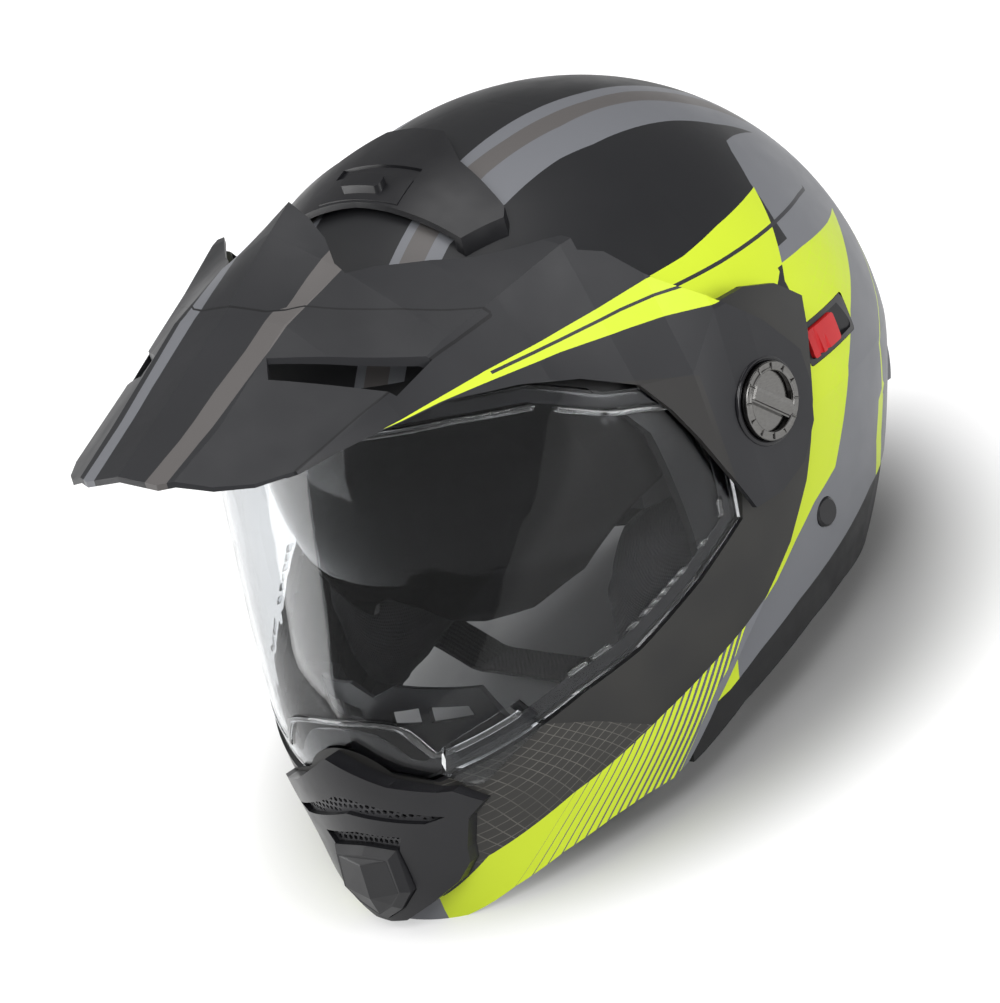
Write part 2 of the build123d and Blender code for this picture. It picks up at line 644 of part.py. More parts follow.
# Chin vent: a moulding over the chin with mesh panels sunk in it and a faceted toggle that slides up
cover_shares = [(height, across + cover_growth_shares[0], middle, along + cover_growth_shares[1])
                for height, across, middle, along in face_shares]
window = mirrored(front_points(window_shares))
lower_window = mirrored(front_points(lower_window_shares))
toggle_outline = mirrored(front_points(toggle_shares))
with BuildPart() as toggle_room:
    for rise in (0, toggle_travel):
        add(front_prism([(x, z + rise) for x, z in toggle_outline], toggle_back - toggle_gap))
    offset(amount=toggle_gap, kind=Kind.INTERSECTION)
with BuildPart() as chin_vent_cover:
    add(oval_body(cover_shares))
    add(front_prism(mirrored(front_points(vent_cover_shares))), mode=Mode.INTERSECT)
    add(oval_body(face_shares, seat_gap), mode=Mode.SUBTRACT)
    add(front_prism(window) - oval_body(cover_shares, -mesh_sink - mesh_wall - seat_gap), mode=Mode.SUBTRACT)
    add(front_prism(lower_window, lower_mesh_back - seat_gap / 2), mode=Mode.SUBTRACT)
    add(toggle_room.part, mode=Mode.SUBTRACT)
finish(chin_vent_cover, "chin_vent_cover")

with BuildPart() as chin_mesh_upper:
    add(oval_body(cover_shares, -mesh_sink))
    add(front_prism(window, inset=seat_gap), mode=Mode.INTERSECT)
    add(oval_body(cover_shares, -mesh_sink - mesh_wall), mode=Mode.SUBTRACT)
finish(chin_mesh_upper, "chin_mesh_upper")

with BuildPart() as chin_mesh_lower:
    add(front_prism(lower_window, lower_mesh_back, mesh_wall, seat_gap))
finish(chin_mesh_lower, "chin_mesh_lower")

with BuildPart() as chin_vent_toggle:
    add(front_prism(toggle_outline, toggle_back, toggle_front - toggle_back))
    chamfer(chin_vent_toggle.faces().sort_by(Axis.Y)[0].edges(), toggle_chamfer)
finish(chin_vent_toggle, "chin_vent_toggle")

# Release button low inside the chin, pushed forwards into its base
button_y = half_length * button_share[0]
button_z = crown_rise * button_share[1]
with BuildPart() as release_base:
    with BuildSketch(Plane.XY.offset(button_z - base_high / 2)):
        with Locations((0, button_y - base_deep / 2)):
            Rectangle(2 * base_half, base_deep)
    extrude(amount=base_high)
    add(oval_body(face_shares, -chin_wall - seat_gap), mode=Mode.INTERSECT)
    with BuildSketch(Plane.XZ.offset(-button_y)):
        with Locations((0, button_z)):
            Circle(button_radius + running_gap)
    extrude(amount=button_depth, mode=Mode.SUBTRACT)
finish(release_base, "release_base")
with BuildPart() as release_button:
    with BuildSketch(Plane.XZ.offset(-button_y - button_proud)):
        with Locations((0, button_z)):
            Circle(button_radius)
    extrude(amount=button_length)
finish(release_button, "release_button")

# Edge trim under the shell's hem
trim_front = half_length * trim_front_share
with BuildPart() as edge_trim:
    add(oval_body(shell_shares, -trim_inset))
    add(side_prism(trim_line + [(far_back, trim_line[-1][1]), (far_back, hem_line[-1][1] - seat_gap)]
                   + [(y, z - seat_gap) for y, z in hem_line[::-1]]), mode=Mode.INTERSECT)
    add(oval_body(shell_shares, -trim_depth), mode=Mode.SUBTRACT)
    add(side_prism([(far_front, far_down), (trim_front, far_down), (trim_front, far_up),
                    (far_front, far_up)]), mode=Mode.SUBTRACT)
    split(bisect_by=rest_plane, keep=Keep.TOP)
finish(edge_trim, "edge_trim")

# Neck roll, cheek pads and crown pad
with BuildPart() as neck_roll:
    add(oval_body(shell_shares, -trim_depth - roll_gap))
    add(side_prism(side_points(neck_side_shares)), mode=Mode.INTERSECT)
    add(oval_body(neck_hole_shares), mode=Mode.SUBTRACT)
finish(neck_roll, "neck_roll")

cheek_line = side_points(cheek_shares)
for name, side in sides.items():
    with BuildPart() as cheek_pad:
        for distance, inset in zip(cheek_faces, cheek_insets):
            with BuildSketch(Plane.YZ.offset(side * distance)):
                with BuildLine():
                    Polyline(*cheek_line, close=True)
                make_face()
                if inset:
                    offset(amount=-inset, kind=Kind.INTERSECTION)
        loft(ruled=True)
        add(oval_body(shell_shares, -trim_depth - roll_gap), mode=Mode.INTERSECT)
        with BuildSketch():
            with Locations((side * (strap_slot + half_width) / 2, strap_y)):
                Rectangle(half_width - strap_slot, strap_wide + 2 * slot_room)
        extrude(amount=crown_rise * strap_slot_share, mode=Mode.SUBTRACT)
    finish(cheek_pad, f"cheek_pad_{name}")

with BuildPart() as channels:
    with BuildSketch():
        with Locations((0, shell_y)):
            Rectangle(pad_channel, 2 * half_length)
        with Locations(*[(0, shell_y + half_length * share) for share in channel_shares]):
            Rectangle(2 * half_width, pad_channel)
    extrude(amount=far_up)
    add(ellipsoid(half_width - foam_side - pad_backing, half_length - foam_rear - pad_backing,
                  crown_rise - foam_top - pad_backing, shell_y, equator_z), mode=Mode.INTERSECT)
with BuildPart() as crown_pad:
    add(ellipsoid(half_width - foam_side - roll_gap, half_length - foam_rear - roll_gap,
                  crown_rise - foam_top - roll_gap, shell_y, equator_z))
    add(ellipsoid(half_width - foam_side - pad_thick, half_length - foam_rear - pad_thick,
                  crown_rise - foam_top - pad_thick, shell_y, equator_z), mode=Mode.SUBTRACT)
    split(bisect_by=Plane.XY.offset(crown_rise * crown_pad_share), keep=Keep.TOP)
    add(channels.part, mode=Mode.SUBTRACT)
finish(crown_pad, "crown_pad")

# Rubber lip round the upper edge of the eye port
brow_line = side_points(brow_shares)
brow_outline = brow_line + [(far_front, brow_line[1][1]), (far_front, brow_line[1][1] - brow_wide)]
brow_outline += [(brow_line[1][0] - brow_wide, brow_line[1][1] - brow_wide),
                 (brow_line[0][0], brow_line[0][1] - brow_wide)]
with BuildPart() as brow_seal:
    add(ellipsoid(half_width + brow_proud, half_length + brow_proud, crown_rise + brow_proud, shell_y,
                  equator_z))
    add(ellipsoid(half_width - brow_deep, half_length - brow_deep, crown_rise - brow_deep, shell_y,
                  equator_z), mode=Mode.SUBTRACT)
    add(side_prism([(y, z - seat_gap) for y, z in brow_outline]), mode=Mode.INTERSECT)
finish(brow_seal, "brow_seal")

# Top air scoop, open to the front, with a slider let into its roof
scoop_form = ellipsoid(half_width + scoop_proud, half_length + scoop_proud, crown_rise + scoop_proud,
                       shell_y, equator_z)
slider_y = half_length * slider_share
slider_floor = scoop_proud - slider_sink
with BuildPart() as slider_pocket:
    with BuildSketch(Plane.XY.offset(crown_rise)):
        with Locations((0, slider_y + slider_travel / 2)):
            Rectangle(2 * (slider_half + seat_gap), slider_long + slider_travel + 2 * seat_gap)
    extrude(amount=far_up)
    add(ellipsoid(half_width + slider_floor, half_length + slider_floor, crown_rise + slider_floor,
                  shell_y, equator_z), mode=Mode.SUBTRACT)
with BuildPart() as scoop_mouth:
    add(plan_prism(mirrored(plan_points(mouth_shares))))
    add(ellipsoid(half_width + scoop_proud - scoop_roof, half_length + scoop_proud - scoop_roof,
                  crown_rise + scoop_proud - scoop_roof, shell_y, equator_z), mode=Mode.INTERSECT)
with BuildPart() as top_vent_scoop:
    add(plan_prism(mirrored(plan_points(scoop_shares))))
    add(scoop_form, mode=Mode.INTERSECT)
    add(ellipsoid(half_width + seat_gap, half_length + seat_gap, crown_rise + seat_gap, shell_y, equator_z),
        mode=Mode.SUBTRACT)
    add(scoop_mouth.part, mode=Mode.SUBTRACT)
    add(slider_pocket.part, mode=Mode.SUBTRACT)
finish(top_vent_scoop, "top_vent_scoop")

slider_base = slider_floor + slider_lift
slider_skin = slider_base + slider_sink
with BuildPart() as slider_grip:
    with BuildSketch(Plane.XY.offset(crown_rise)):
        with Locations((0, slider_y)):
            RectangleRounded(slider_half, slider_long / 2, slider_long / 5)
    extrude(amount=far_up)
    add(ellipsoid(half_width + slider_skin + slider_nub, half_length + slider_skin + slider_nub,
                  crown_rise + slider_skin + slider_nub, shell_y, equator_z), mode=Mode.INTERSECT)
with BuildPart() as top_vent_slider:
    with BuildSketch(Plane.XY.offset(crown_rise)):
        with Locations((0, slider_y)):
            Rectangle(2 * slider_half, slider_long)
    extrude(amount=far_up)
    add(ellipsoid(half_width + slider_skin, half_length + slider_skin, crown_rise + slider_skin,
                  shell_y, equator_z), mode=Mode.INTERSECT)
    add(slider_grip.part)
    add(ellipsoid(half_width + slider_base, half_length + slider_base, crown_rise + slider_base,
                  shell_y, equator_z), mode=Mode.SUBTRACT)
finish(top_vent_slider, "top_vent_slider")

# Rear air cover
with BuildPart() as rear_exhaust:
    add(ellipsoid(half_width * rear_form_share[0], half_length * rear_form_share[1],
                  crown_rise * rear_form_share[2], shell_y, crown_rise * rear_form_share[3]))
    add(front_prism(mirrored(front_points(rear_cover_shares)), -2 * half_length), mode=Mode.INTERSECT)
    with BuildSketch():
        with Locations((0, half_length)):
            Rectangle(2 * half_width, half_length)
    extrude(amount=far_up, mode=Mode.INTERSECT)
    add(shell_body(seat_gap), mode=Mode.SUBTRACT)
    for side in sides.values():
        add(front_prism(front_points(rear_slot_shares, side), -2 * half_length), mode=Mode.SUBTRACT)
finish(rear_exhaust, "rear_exhaust")

# Chin strap: a band from each side, joined by a buckle under the jaw
for name, side, last in (("left", 1, 3), ("right", -1, 5)):
    with BuildPart() as strap:
        with BuildSketch(Plane.XZ.offset(-strap_y - strap_wide / 2)):
            with BuildLine():
                Polyline(*front_points(strap_shares, side)[:last])
                offset(amount=strap_thick / 2)
            make_face()
        extrude(amount=strap_wide)
    finish(strap, f"strap_{name}")

buckle_seat = strap_thick / 2 + seat_gap
buckle_ends = front_points([strap_shares[2], (-strap_shares[4][0], strap_shares[4][1])])
with BuildPart() as strap_buckle:
    with BuildSketch(Plane.XZ.offset(-strap_y - strap_wide / 2 - slot_room)):
        with BuildLine():
            Polyline((buckle_ends[0][0] - buckle_seat, buckle_ends[0][1] + buckle_half),
                     (buckle_ends[0][0] - buckle_seat, buckle_ends[0][1] - buckle_half),
                     (buckle_ends[1][0] + buckle_seat, buckle_ends[1][1] - buckle_half),
                     (buckle_ends[1][0] + buckle_seat, buckle_ends[1][1] + buckle_half), close=True)
        make_face()
    extrude(amount=strap_wide + 2 * slot_room)
    chamfer(strap_buckle.edges().filter_by(Axis.Y), buckle_half / 2)
finish(strap_buckle, "strap_buckle")


# Lean every piece back onto the rest plane, with the origin under the middle of the whole
lean = Location((0, 0, 0), (-stand_lean, 0, 0))
boxes = [piece.moved(lean).bounding_box() for piece in pieces]
middle_x = (min(box.min.X for box in boxes) + max(box.max.X for box in boxes)) / 2
middle_y = (min(box.min.Y for box in boxes) + max(box.max.Y for box in boxes)) / 2
rest_level = Vertex(0, *rest_front).moved(lean).center().Z
stand = Location((-middle_x, -middle_y, -rest_level)) * lean
os.makedirs("parts", exist_ok=True)
for piece in pieces:
    standing = piece.moved(stand)
    standing.label = piece.label
    export_step(standing, f"parts/{piece.label}.step")
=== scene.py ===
from math import atan2, cos, sin, pi, radians
import bpy
import bmesh
import numpy as np
from mathutils import Matrix, Vector


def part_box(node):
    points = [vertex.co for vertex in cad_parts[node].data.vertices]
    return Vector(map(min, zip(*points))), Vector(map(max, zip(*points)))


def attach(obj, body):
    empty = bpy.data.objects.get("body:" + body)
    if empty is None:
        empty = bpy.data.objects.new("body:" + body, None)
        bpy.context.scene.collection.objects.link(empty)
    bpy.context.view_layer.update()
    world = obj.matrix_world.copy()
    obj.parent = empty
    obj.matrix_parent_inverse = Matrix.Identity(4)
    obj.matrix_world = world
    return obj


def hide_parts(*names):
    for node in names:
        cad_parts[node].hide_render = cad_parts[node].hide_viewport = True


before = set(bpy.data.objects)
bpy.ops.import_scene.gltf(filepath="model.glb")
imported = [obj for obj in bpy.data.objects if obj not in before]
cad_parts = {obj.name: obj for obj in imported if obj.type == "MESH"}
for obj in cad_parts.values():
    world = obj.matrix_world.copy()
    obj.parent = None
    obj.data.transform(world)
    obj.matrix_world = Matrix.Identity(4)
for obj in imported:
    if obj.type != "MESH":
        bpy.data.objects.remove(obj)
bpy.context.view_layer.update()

per_metre = 1000.0
tiny = 1e-12

# Sizes and outlines of the solids, in millimetres and in shares of the three half sizes
half_width, half_length, crown_rise = 124.0, 152.0, 136.0
shell_y = half_length * 0.112
pivot_y, pivot_z = half_length * -0.007, crown_rise * 1.125
rest_front = (half_length * -0.908, crown_rise * -0.096)
rest_rear = (half_length * 0.737, crown_rise * 0.338)
lean = atan2(rest_rear[1] - rest_front[1], rest_rear[0] - rest_front[0])
# Rows of the face: height, half width, middle along and half length
face_shares = [(-0.140, 0.655, -0.205, 0.715), (0.037, 0.742, -0.171, 0.776), (0.147, 0.798, -0.132, 0.822),
               (0.294, 0.879, -0.053, 0.921), (0.441, 0.931, 0.013, 1.003), (0.588, 0.970, 0.059, 1.043),
               (0.735, 0.998, 0.086, 1.053), (0.919, 1.027, 0.086, 1.020), (1.103, 1.035, 0.079, 0.984),
               (1.287, 1.036, 0.079, 0.954), (1.500, 1.014, 0.079, 0.918)]


def side(shares):
    """Outline seen from the side, from (along, height) shares."""
    return [(half_length * a, crown_rise * b) for a, b in shares]


def front(shares, sign=1):
    """Outline seen from the front, from (across, height) shares; sign -1 gives the right half."""
    return [(sign * half_width * a, crown_rise * b) for a, b in shares]


def mirrored(points):
    """A left half outline from its middle point outwards, closed by its right half."""
    return points + [(-x, y) for x, y in reversed(points) if x]


# The wearer's frame is leaned back and shifted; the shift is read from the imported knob
knob_low, knob_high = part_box("peak_knob_left")
knob_mid = [(a + b) / 2 * per_metre for a, b in zip(knob_low, knob_high)]
shift = np.array([0.0,
                  knob_mid[1] - (pivot_y * cos(lean) + pivot_z * sin(lean)),
                  knob_mid[2] - (-pivot_y * sin(lean) + pivot_z * cos(lean))])
turn = np.array([[1, 0, 0], [0, cos(lean), sin(lean)], [0, -sin(lean), cos(lean)]])


def place(points):
    """Wearer's millimetres to standing metres."""
    return (np.asarray(points, float) @ turn.T + shift) / per_metre


def joined(data, name):
    """New object of a mesh, lamp or camera, in the scene."""
    ob = bpy.data.objects.new(name, data)
    bpy.context.scene.collection.objects.link(ob)
    return ob


def new_object(name, verts, faces, body, mat, smooth=True, nodes=()):
    """Piece from the wearer's millimetres, riding on a body, in place of nodes."""
    mesh = bpy.data.meshes.new(name)
    mesh.from_pydata([tuple(v) for v in place(verts)], [], [tuple(int(i) for i in f) for f in faces])
    mesh.validate()
    mesh.update()
    ob = joined(mesh, name)
    for p in mesh.polygons:
        p.use_smooth = smooth
    mesh.materials.append(mat)
    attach(ob, body)
    if nodes:
        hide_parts(*nodes)
    return ob


def curve_through(xs, ys):
    """Natural cubic through points, as a function of an array."""
    xs, ys = np.array(xs, float), np.array(ys, float)
    n = len(xs)
    h = np.diff(xs)
    system, right = np.eye(n), np.zeros(n)
    for i in range(1, n - 1):
        system[i, i - 1:i + 2] = h[i - 1], 2 * (h[i - 1] + h[i]), h[i]
        right[i] = 6 * ((ys[i + 1] - ys[i]) / h[i] - (ys[i] - ys[i - 1]) / h[i - 1])
    s = np.linalg.solve(system, right)

    def value(x):
        x = np.asarray(x, float)
        k = np.clip(np.searchsorted(xs, x) - 1, 0, n - 2)
        a, b, w = xs[k + 1] - x, x - xs[k], h[k]
        return (s[k] * a ** 3 + s[k + 1] * b ** 3) / (6 * w) + (ys[k] / w - s[k] * w / 6) * a \
            + (ys[k + 1] / w - s[k + 1] * w / 6) * b
    return value


class Ovals:
    """Family of level ovals: point(turn from the front, height share, grow)."""

    def __init__(self, table):
        cols = list(zip(*table))
        self.a, self.m, self.l = (curve_through(cols[0], c) for c in cols[1:])

    def point(self, t, h, grow=0.0):
        return np.stack([(half_width * self.a(h) + grow) * np.sin(t),
                         half_length * self.m(h) - (half_length * self.l(h) + grow) * np.cos(t),
                         crown_rise * h + 0 * t], -1)


face_ovals = Ovals(face_shares)


def polygon_distance(points):
    """Signed distance to a closed outline, positive inside."""
    p = np.array(points, float)
    q = np.roll(p, -1, 0)

    def value(x, y):
        x, y = np.asarray(x, float), np.asarray(y, float)
        best = np.full(x.shape, np.inf)
        inside = np.zeros(x.shape, bool)
        for (ax, ay), (bx, by) in zip(p, q):
            dx, dy = bx - ax, by - ay
            k = np.clip(((x - ax) * dx + (y - ay) * dy) / (dx * dx + dy * dy + tiny), 0, 1)
            best = np.minimum(best, np.hypot(x - ax - k * dx, y - ay - k * dy))
            crosses = (ay > y) != (by > y)
            with np.errstate(divide="ignore", invalid="ignore"):
                xi = ax + (y - ay) * dx / (dy if dy else tiny)
            inside ^= crosses & (x < xi)
        return np.where(inside, best, -best)
    return value


def clip_grid(surface, us, vs, keep):
    """Grid of a surface cut along keep = 0.

    Grid points near the line move onto it, and the cells that it still crosses are cut by it.
    """
    probe, reach, on_line = 0.05, 0.42, 0.02
    du, dv = us[1] - us[0], vs[1] - vs[0]
    U, V = np.meshgrid(us, vs, indexing="ij")
    P = surface(U, V)
    D = keep(P)
    for _ in range(2):
        gu = (keep(surface(U + du * probe, V)) - keep(surface(U - du * probe, V))) / (du * 2 * probe)
        gv = (keep(surface(U, V + dv * probe)) - keep(surface(U, V - dv * probe))) / (dv * 2 * probe)
        g2 = (gu * du) ** 2 + (gv * dv) ** 2 + 1e-9
        su, sv = -D * gu * du * du / g2, -D * gv * dv * dv / g2
        near = (np.abs(su) < reach * du) & (np.abs(sv) < reach * dv)
        U = np.where(near, U + su, U)
        V = np.where(near, V + sv, V)
        P = surface(U, V)
        D = np.where(near, 0.0, keep(P))
    D = np.where(np.abs(D) < on_line, 0.0, D)
    n, m = D.shape
    verts = [tuple(p) for p in P.reshape(-1, 3)]
    par = list(zip(U.reshape(-1), V.reshape(-1)))
    d = D.reshape(-1)
    cut = {}

    def crossing(i, j):
        key = (min(i, j), max(i, j))
        if key not in cut:
            w = d[i] / (d[i] - d[j])
            u = par[i][0] + w * (par[j][0] - par[i][0])
            v = par[i][1] + w * (par[j][1] - par[i][1])
            cut[key] = len(verts)
            par.append((u, v))
            verts.append(tuple(surface(np.array(u), np.array(v))))
        return cut[key]

    faces = []
    for i in range(n - 1):
        for j in range(m - 1):
            quad = [i * m + j, (i + 1) * m + j, (i + 1) * m + j + 1, i * m + j + 1]
            s = [d[k] for k in quad]
            if max(s) <= 0:
                continue
            if min(s) >= 0:
                faces.append(quad)
                continue
            poly = []
            for a in range(4):
                p, q = quad[a], quad[(a + 1) % 4]
                if d[p] >= 0:
                    poly.append(p)
                if d[p] * d[q] < 0:
                    poly.append(crossing(p, q))
            clean = [k for a, k in enumerate(poly) if k != poly[a - 1]]
            if len(clean) > 2:
                faces.append(clean)
    used = sorted({k for f in faces for k in f})
    index = {k: a for a, k in enumerate(used)}
    pts = np.array([verts[k] for k in used])
    prm = np.array([par[k] for k in used])
    return pts, prm, [[index[k] for k in f] for f in faces]


def surface_normal(surface, prm, step=1e-3):
    """Unit normals at (u, v) places of a surface."""
    u, v = prm[:, 0], prm[:, 1]
    a = surface(u + step, v) - surface(u - step, v)
    b = surface(u, v + step) - surface(u, v - step)
    n = np.cross(a, b)
    return n / (np.linalg.norm(n, axis=1)[:, None] + tiny)


def thick_panel(surface, us, vs, keep, wall):
    """Panel with a wall behind a surface and a rounded rim, of three bands, round every free edge."""
    r, rim = wall / 2, 3
    pts, prm, faces = clip_grid(surface, us, vs, lambda P: keep(P) - r)
    nrm = surface_normal(surface, prm)
    n = len(pts)
    edges = dict.fromkeys((f[a], f[(a + 1) % len(f)]) for f in faces for a in range(len(f)))
    border = [e for e in edges if (e[1], e[0]) not in edges]
    back = pts - nrm * wall
    verts = [tuple(p) for p in pts] + [tuple(p) for p in back]
    out = [list(f) for f in faces] + [[k + n for k in reversed(f)] for f in faces]
    away = np.zeros((n, 3))
    for a, b in border:
        w = np.cross(pts[b] - pts[a], nrm[a])
        w /= np.linalg.norm(w) + tiny
        away[a] += w
        away[b] += w
    ring = {}
    for a, b in border:
        for k in (a, b):
            if k in ring:
                continue
            w = away[k] / (np.linalg.norm(away[k]) + tiny)
            ids = [k]
            for s in range(1, rim):
                ang = pi * s / rim
                ids.append(len(verts))
                verts.append(tuple(pts[k] - nrm[k] * r * (1 - cos(ang)) + w * (sin(ang) * r)))
            ids.append(k + n)
            ring[k] = ids
    for a, b in border:
        A, B = ring[a], ring[b]
        for s in range(len(A) - 1):
            out.append([B[s], A[s], A[s + 1], B[s + 1]])
    return np.array(verts), out


# Shader helpers, for materials, floor and world alike
def put(tree, value, socket):
    """Link a socket, or set a value."""
    if isinstance(value, bpy.types.NodeSocket):
        tree.links.new(value, socket)
    else:
        socket.default_value = value


def math_node(tree, op, *values):
    n = tree.nodes.new("ShaderNodeMath")
    n.operation = op
    for value, socket in zip(values, n.inputs):
        put(tree, value, socket)
    return n.outputs[0]


def range_node(tree, value, start, end, low, high, kind="LINEAR"):
    n = tree.nodes.new("ShaderNodeMapRange")
    n.interpolation_type = kind
    for term, socket in zip((value, start, end, low, high), n.inputs):
        put(tree, term, socket)
    return n.outputs[0]


# Paint: every pattern is drawn in the wearer's millimetres, found back from the object's own coordinates
wearer_back = -(turn.T @ shift)
facing_out = 0.02
paint_specular, paint_grain, moulded_specular = 0.24, 0.12, 0.3
drift_low, drift_high = 0.3, 0.7
peel_deep, grain_deep, turning_deep, weave_deep, loop_deep, bead_deep = 8e-5, 1e-4, 5e-5, 2e-4, 3e-4, 4e-4


class Paint:
    """Principled material with its node steps as methods; x, y, z and ax, which is x unsigned, are places."""

    def __init__(self, name, rough=0.5, metallic=0.0):
        self.mat = bpy.data.materials.new(name)
        self.mat.use_nodes = True
        self.tree = self.mat.node_tree
        self.shader = self.tree.nodes["Principled BSDF"]
        self.shader.inputs["Roughness"].default_value = rough
        self.shader.inputs["Metallic"].default_value = metallic
        self.coords = self.add("ShaderNodeTexCoord")
        mapping = self.add("ShaderNodeMapping")
        mapping.inputs["Scale"].default_value = (per_metre, per_metre, per_metre)
        mapping.inputs["Rotation"].default_value = (lean, 0, 0)
        mapping.inputs["Location"].default_value = tuple(wearer_back)
        self.link(self.coords.outputs["Object"], mapping.inputs["Vector"])
        self.place = mapping.outputs["Vector"]
        split = self.add("ShaderNodeSeparateXYZ")
        self.link(self.place, split.inputs[0])
        self.x, self.y, self.z = split.outputs
        self.ax = self.size(self.x)

    def add(self, kind):
        return self.tree.nodes.new(kind)

    def link(self, a, b):
        self.tree.links.new(a, b)

    def outside(self):
        """1 where the surface faces away from the middle of the head."""
        away = self.add("ShaderNodeVectorMath")
        away.operation = "SUBTRACT"
        self.link(self.coords.outputs["Object"], away.inputs[0])
        away.inputs[1].default_value = tuple(place([(0, shell_y, pivot_z)])[0])
        dot = self.add("ShaderNodeVectorMath")
        dot.operation = "DOT_PRODUCT"
        self.link(away.outputs["Vector"], dot.inputs[0])
        self.link(self.coords.outputs["Normal"], dot.inputs[1])
        return self.over(dot.outputs["Value"], facing_out)

    def math(self, op, *values):
        return math_node(self.tree, op, *values)

    def plus(self, a, b):
        return self.math("ADD", a, b)

    def minus(self, a, b):
        return self.math("SUBTRACT", a, b)

    def times(self, a, b):
        return self.math("MULTIPLY", a, b)

    def divide(self, a, b):
        return self.math("DIVIDE", a, b)

    def size(self, a):
        return self.math("ABSOLUTE", a)

    def sine(self, a):
        return self.math("SINE", a)

    def over(self, a, b):
        return self.math("GREATER_THAN", a, b)

    def under(self, a, b):
        return self.math("LESS_THAN", a, b)

    def near(self, a, b, half):
        """1 within a half width of b."""
        return self.under(self.size(self.minus(a, b)), half)

    def both(self, *terms):
        """1 where every term is 1."""
        out = terms[0]
        for t in terms[1:]:
            out = self.times(out, t)
        return out

    def either(self, *terms):
        """1 where any term is 1."""
        out = terms[0]
        for t in terms[1:]:
            out = self.math("MAXIMUM", out, t)
        return out

    def curve(self, value, points):
        """Straight lines through (in, out) points, held level past both ends."""
        points = sorted(points)
        x0, x1 = points[0][0], points[-1][0]
        y0, y1 = min(p[1] for p in points), max(p[1] for p in points)
        span = (y1 - y0) or 1.0
        ranged = self.divide(self.minus(value, x0), x1 - x0)
        n = self.add("ShaderNodeFloatCurve")
        c = n.mapping.curves[0]
        while len(c.points) > 2:
            c.points.remove(c.points[-1])
        norm = [((a - x0) / (x1 - x0), (b - y0) / span) for a, b in points]
        c.points[0].location = norm[0]
        c.points[1].location = norm[-1]
        for p in norm[1:-1]:
            c.points.new(*p)
        for p in c.points:
            p.handle_type = "VECTOR"
        n.mapping.extend = "HORIZONTAL"
        n.mapping.update()
        self.link(ranged, n.inputs["Value"])
        return self.math("MULTIPLY_ADD", n.outputs[0], span, y0)

    def mix(self, factor, a, b):
        """Colour a where the factor is 0 and b where it is 1, by the node's colour sockets."""
        n = self.add("ShaderNodeMix")
        n.data_type = "RGBA"
        for value, k in ((factor, 0), (a, 6), (b, 7)):
            put(self.tree, value, n.inputs[k])
        return n.outputs[2]

    def noise(self, scale, detail=2.0, stretch=None):
        """Noise in the wearer's millimetres, finer along the axes that stretch counts up."""
        n = self.add("ShaderNodeTexNoise")
        n.inputs["Scale"].default_value = scale
        n.inputs["Detail"].default_value = detail
        source = self.place
        if stretch:
            m = self.add("ShaderNodeMapping")
            m.inputs["Scale"].default_value = stretch
            self.link(self.place, m.inputs["Vector"])
            source = m.outputs["Vector"]
        self.link(source, n.inputs["Vector"])
        return n.outputs["Fac"]

    def remap(self, value, start, end, low, high):
        return range_node(self.tree, value, start, end, low, high)

    def cloudy(self, scale, detail, low, high):
        """Slow drift between two values."""
        return self.remap(self.noise(scale, detail), drift_low, drift_high, low, high)

    def gloss(self, value):
        self.link(value, self.shader.inputs["Roughness"])

    def bump(self, height, strength, distance):
        n = self.add("ShaderNodeBump")
        n.inputs["Strength"].default_value = strength
        n.inputs["Distance"].default_value = distance
        self.link(height, n.inputs["Height"])
        self.link(n.outputs["Normal"], self.shader.inputs["Normal"])

    def colour(self, value):
        put(self.tree, value, self.shader.inputs["Base Color"])

    def finish_paint(self, colour, rough_lo, rough_hi):
        """Colour with a fine orange peel and slightly uneven gloss."""
        self.shader.inputs["Specular IOR Level"].default_value = paint_specular
        self.colour(colour)
        self.gloss(self.cloudy(0.06, 3.0, rough_lo, rough_hi))
        self.bump(self.noise(3.0, 2.0), paint_grain, peel_deep)
        return self.mat


def rgb(r, g, b):
    return (r, g, b, 1.0)


neon = rgb(0.57, 0.70, 0.036)
neon_net = rgb(0.56, 0.74, 0.011)
cool_grey = rgb(0.155, 0.160, 0.175)
warm_grey = rgb(0.105, 0.098, 0.096)
stripe_grey = rgb(0.105, 0.105, 0.135)
net_grey = rgb(0.115, 0.110, 0.100)
charcoal = rgb(0.016, 0.0163, 0.018)
chin_dark, chin_light = rgb(0.020, 0.020, 0.020), rgb(0.028, 0.0275, 0.026)
chin_net = rgb(0.036, 0.035, 0.033)
peak_dark, peak_light = rgb(0.017, 0.0173, 0.0195), rgb(0.022, 0.0224, 0.025)
# Painted light: a lighter, warmer tone for the peak's arm
peak_arm_painted_light = rgb(0.024, 0.023, 0.0225)
line_black = rgb(0.03, 0.03, 0.035)
# Painted shade for the lines of the peak's fold and crease
crease_shade_black = rgb(0.006, 0.006, 0.007)
deep_black = rgb(0.008, 0.008, 0.009)


def topographic(p, cell):
    """Warped net of thin lines."""
    line_wide, squeeze = 0.16, 0.8
    warp_a = p.times(p.sine(p.times(p.z, 0.11)), 2.2)
    warp_b = p.times(p.sine(p.times(p.y, 0.09)), 2.6)
    u = p.plus(p.plus(p.times(p.y, 0.80), p.times(p.z, 0.72)), warp_a)
    v = p.plus(p.minus(p.times(p.z, 0.85), p.times(p.y, 0.55)), warp_b)
    lines = []
    for coord, pitch in ((u, cell), (v, cell * squeeze)):
        from_middle = p.size(p.minus(p.math("FRACT", p.divide(coord, pitch)), 0.5))
        lines.append(p.over(from_middle, 0.5 - line_wide / pitch))
    return p.either(*lines)


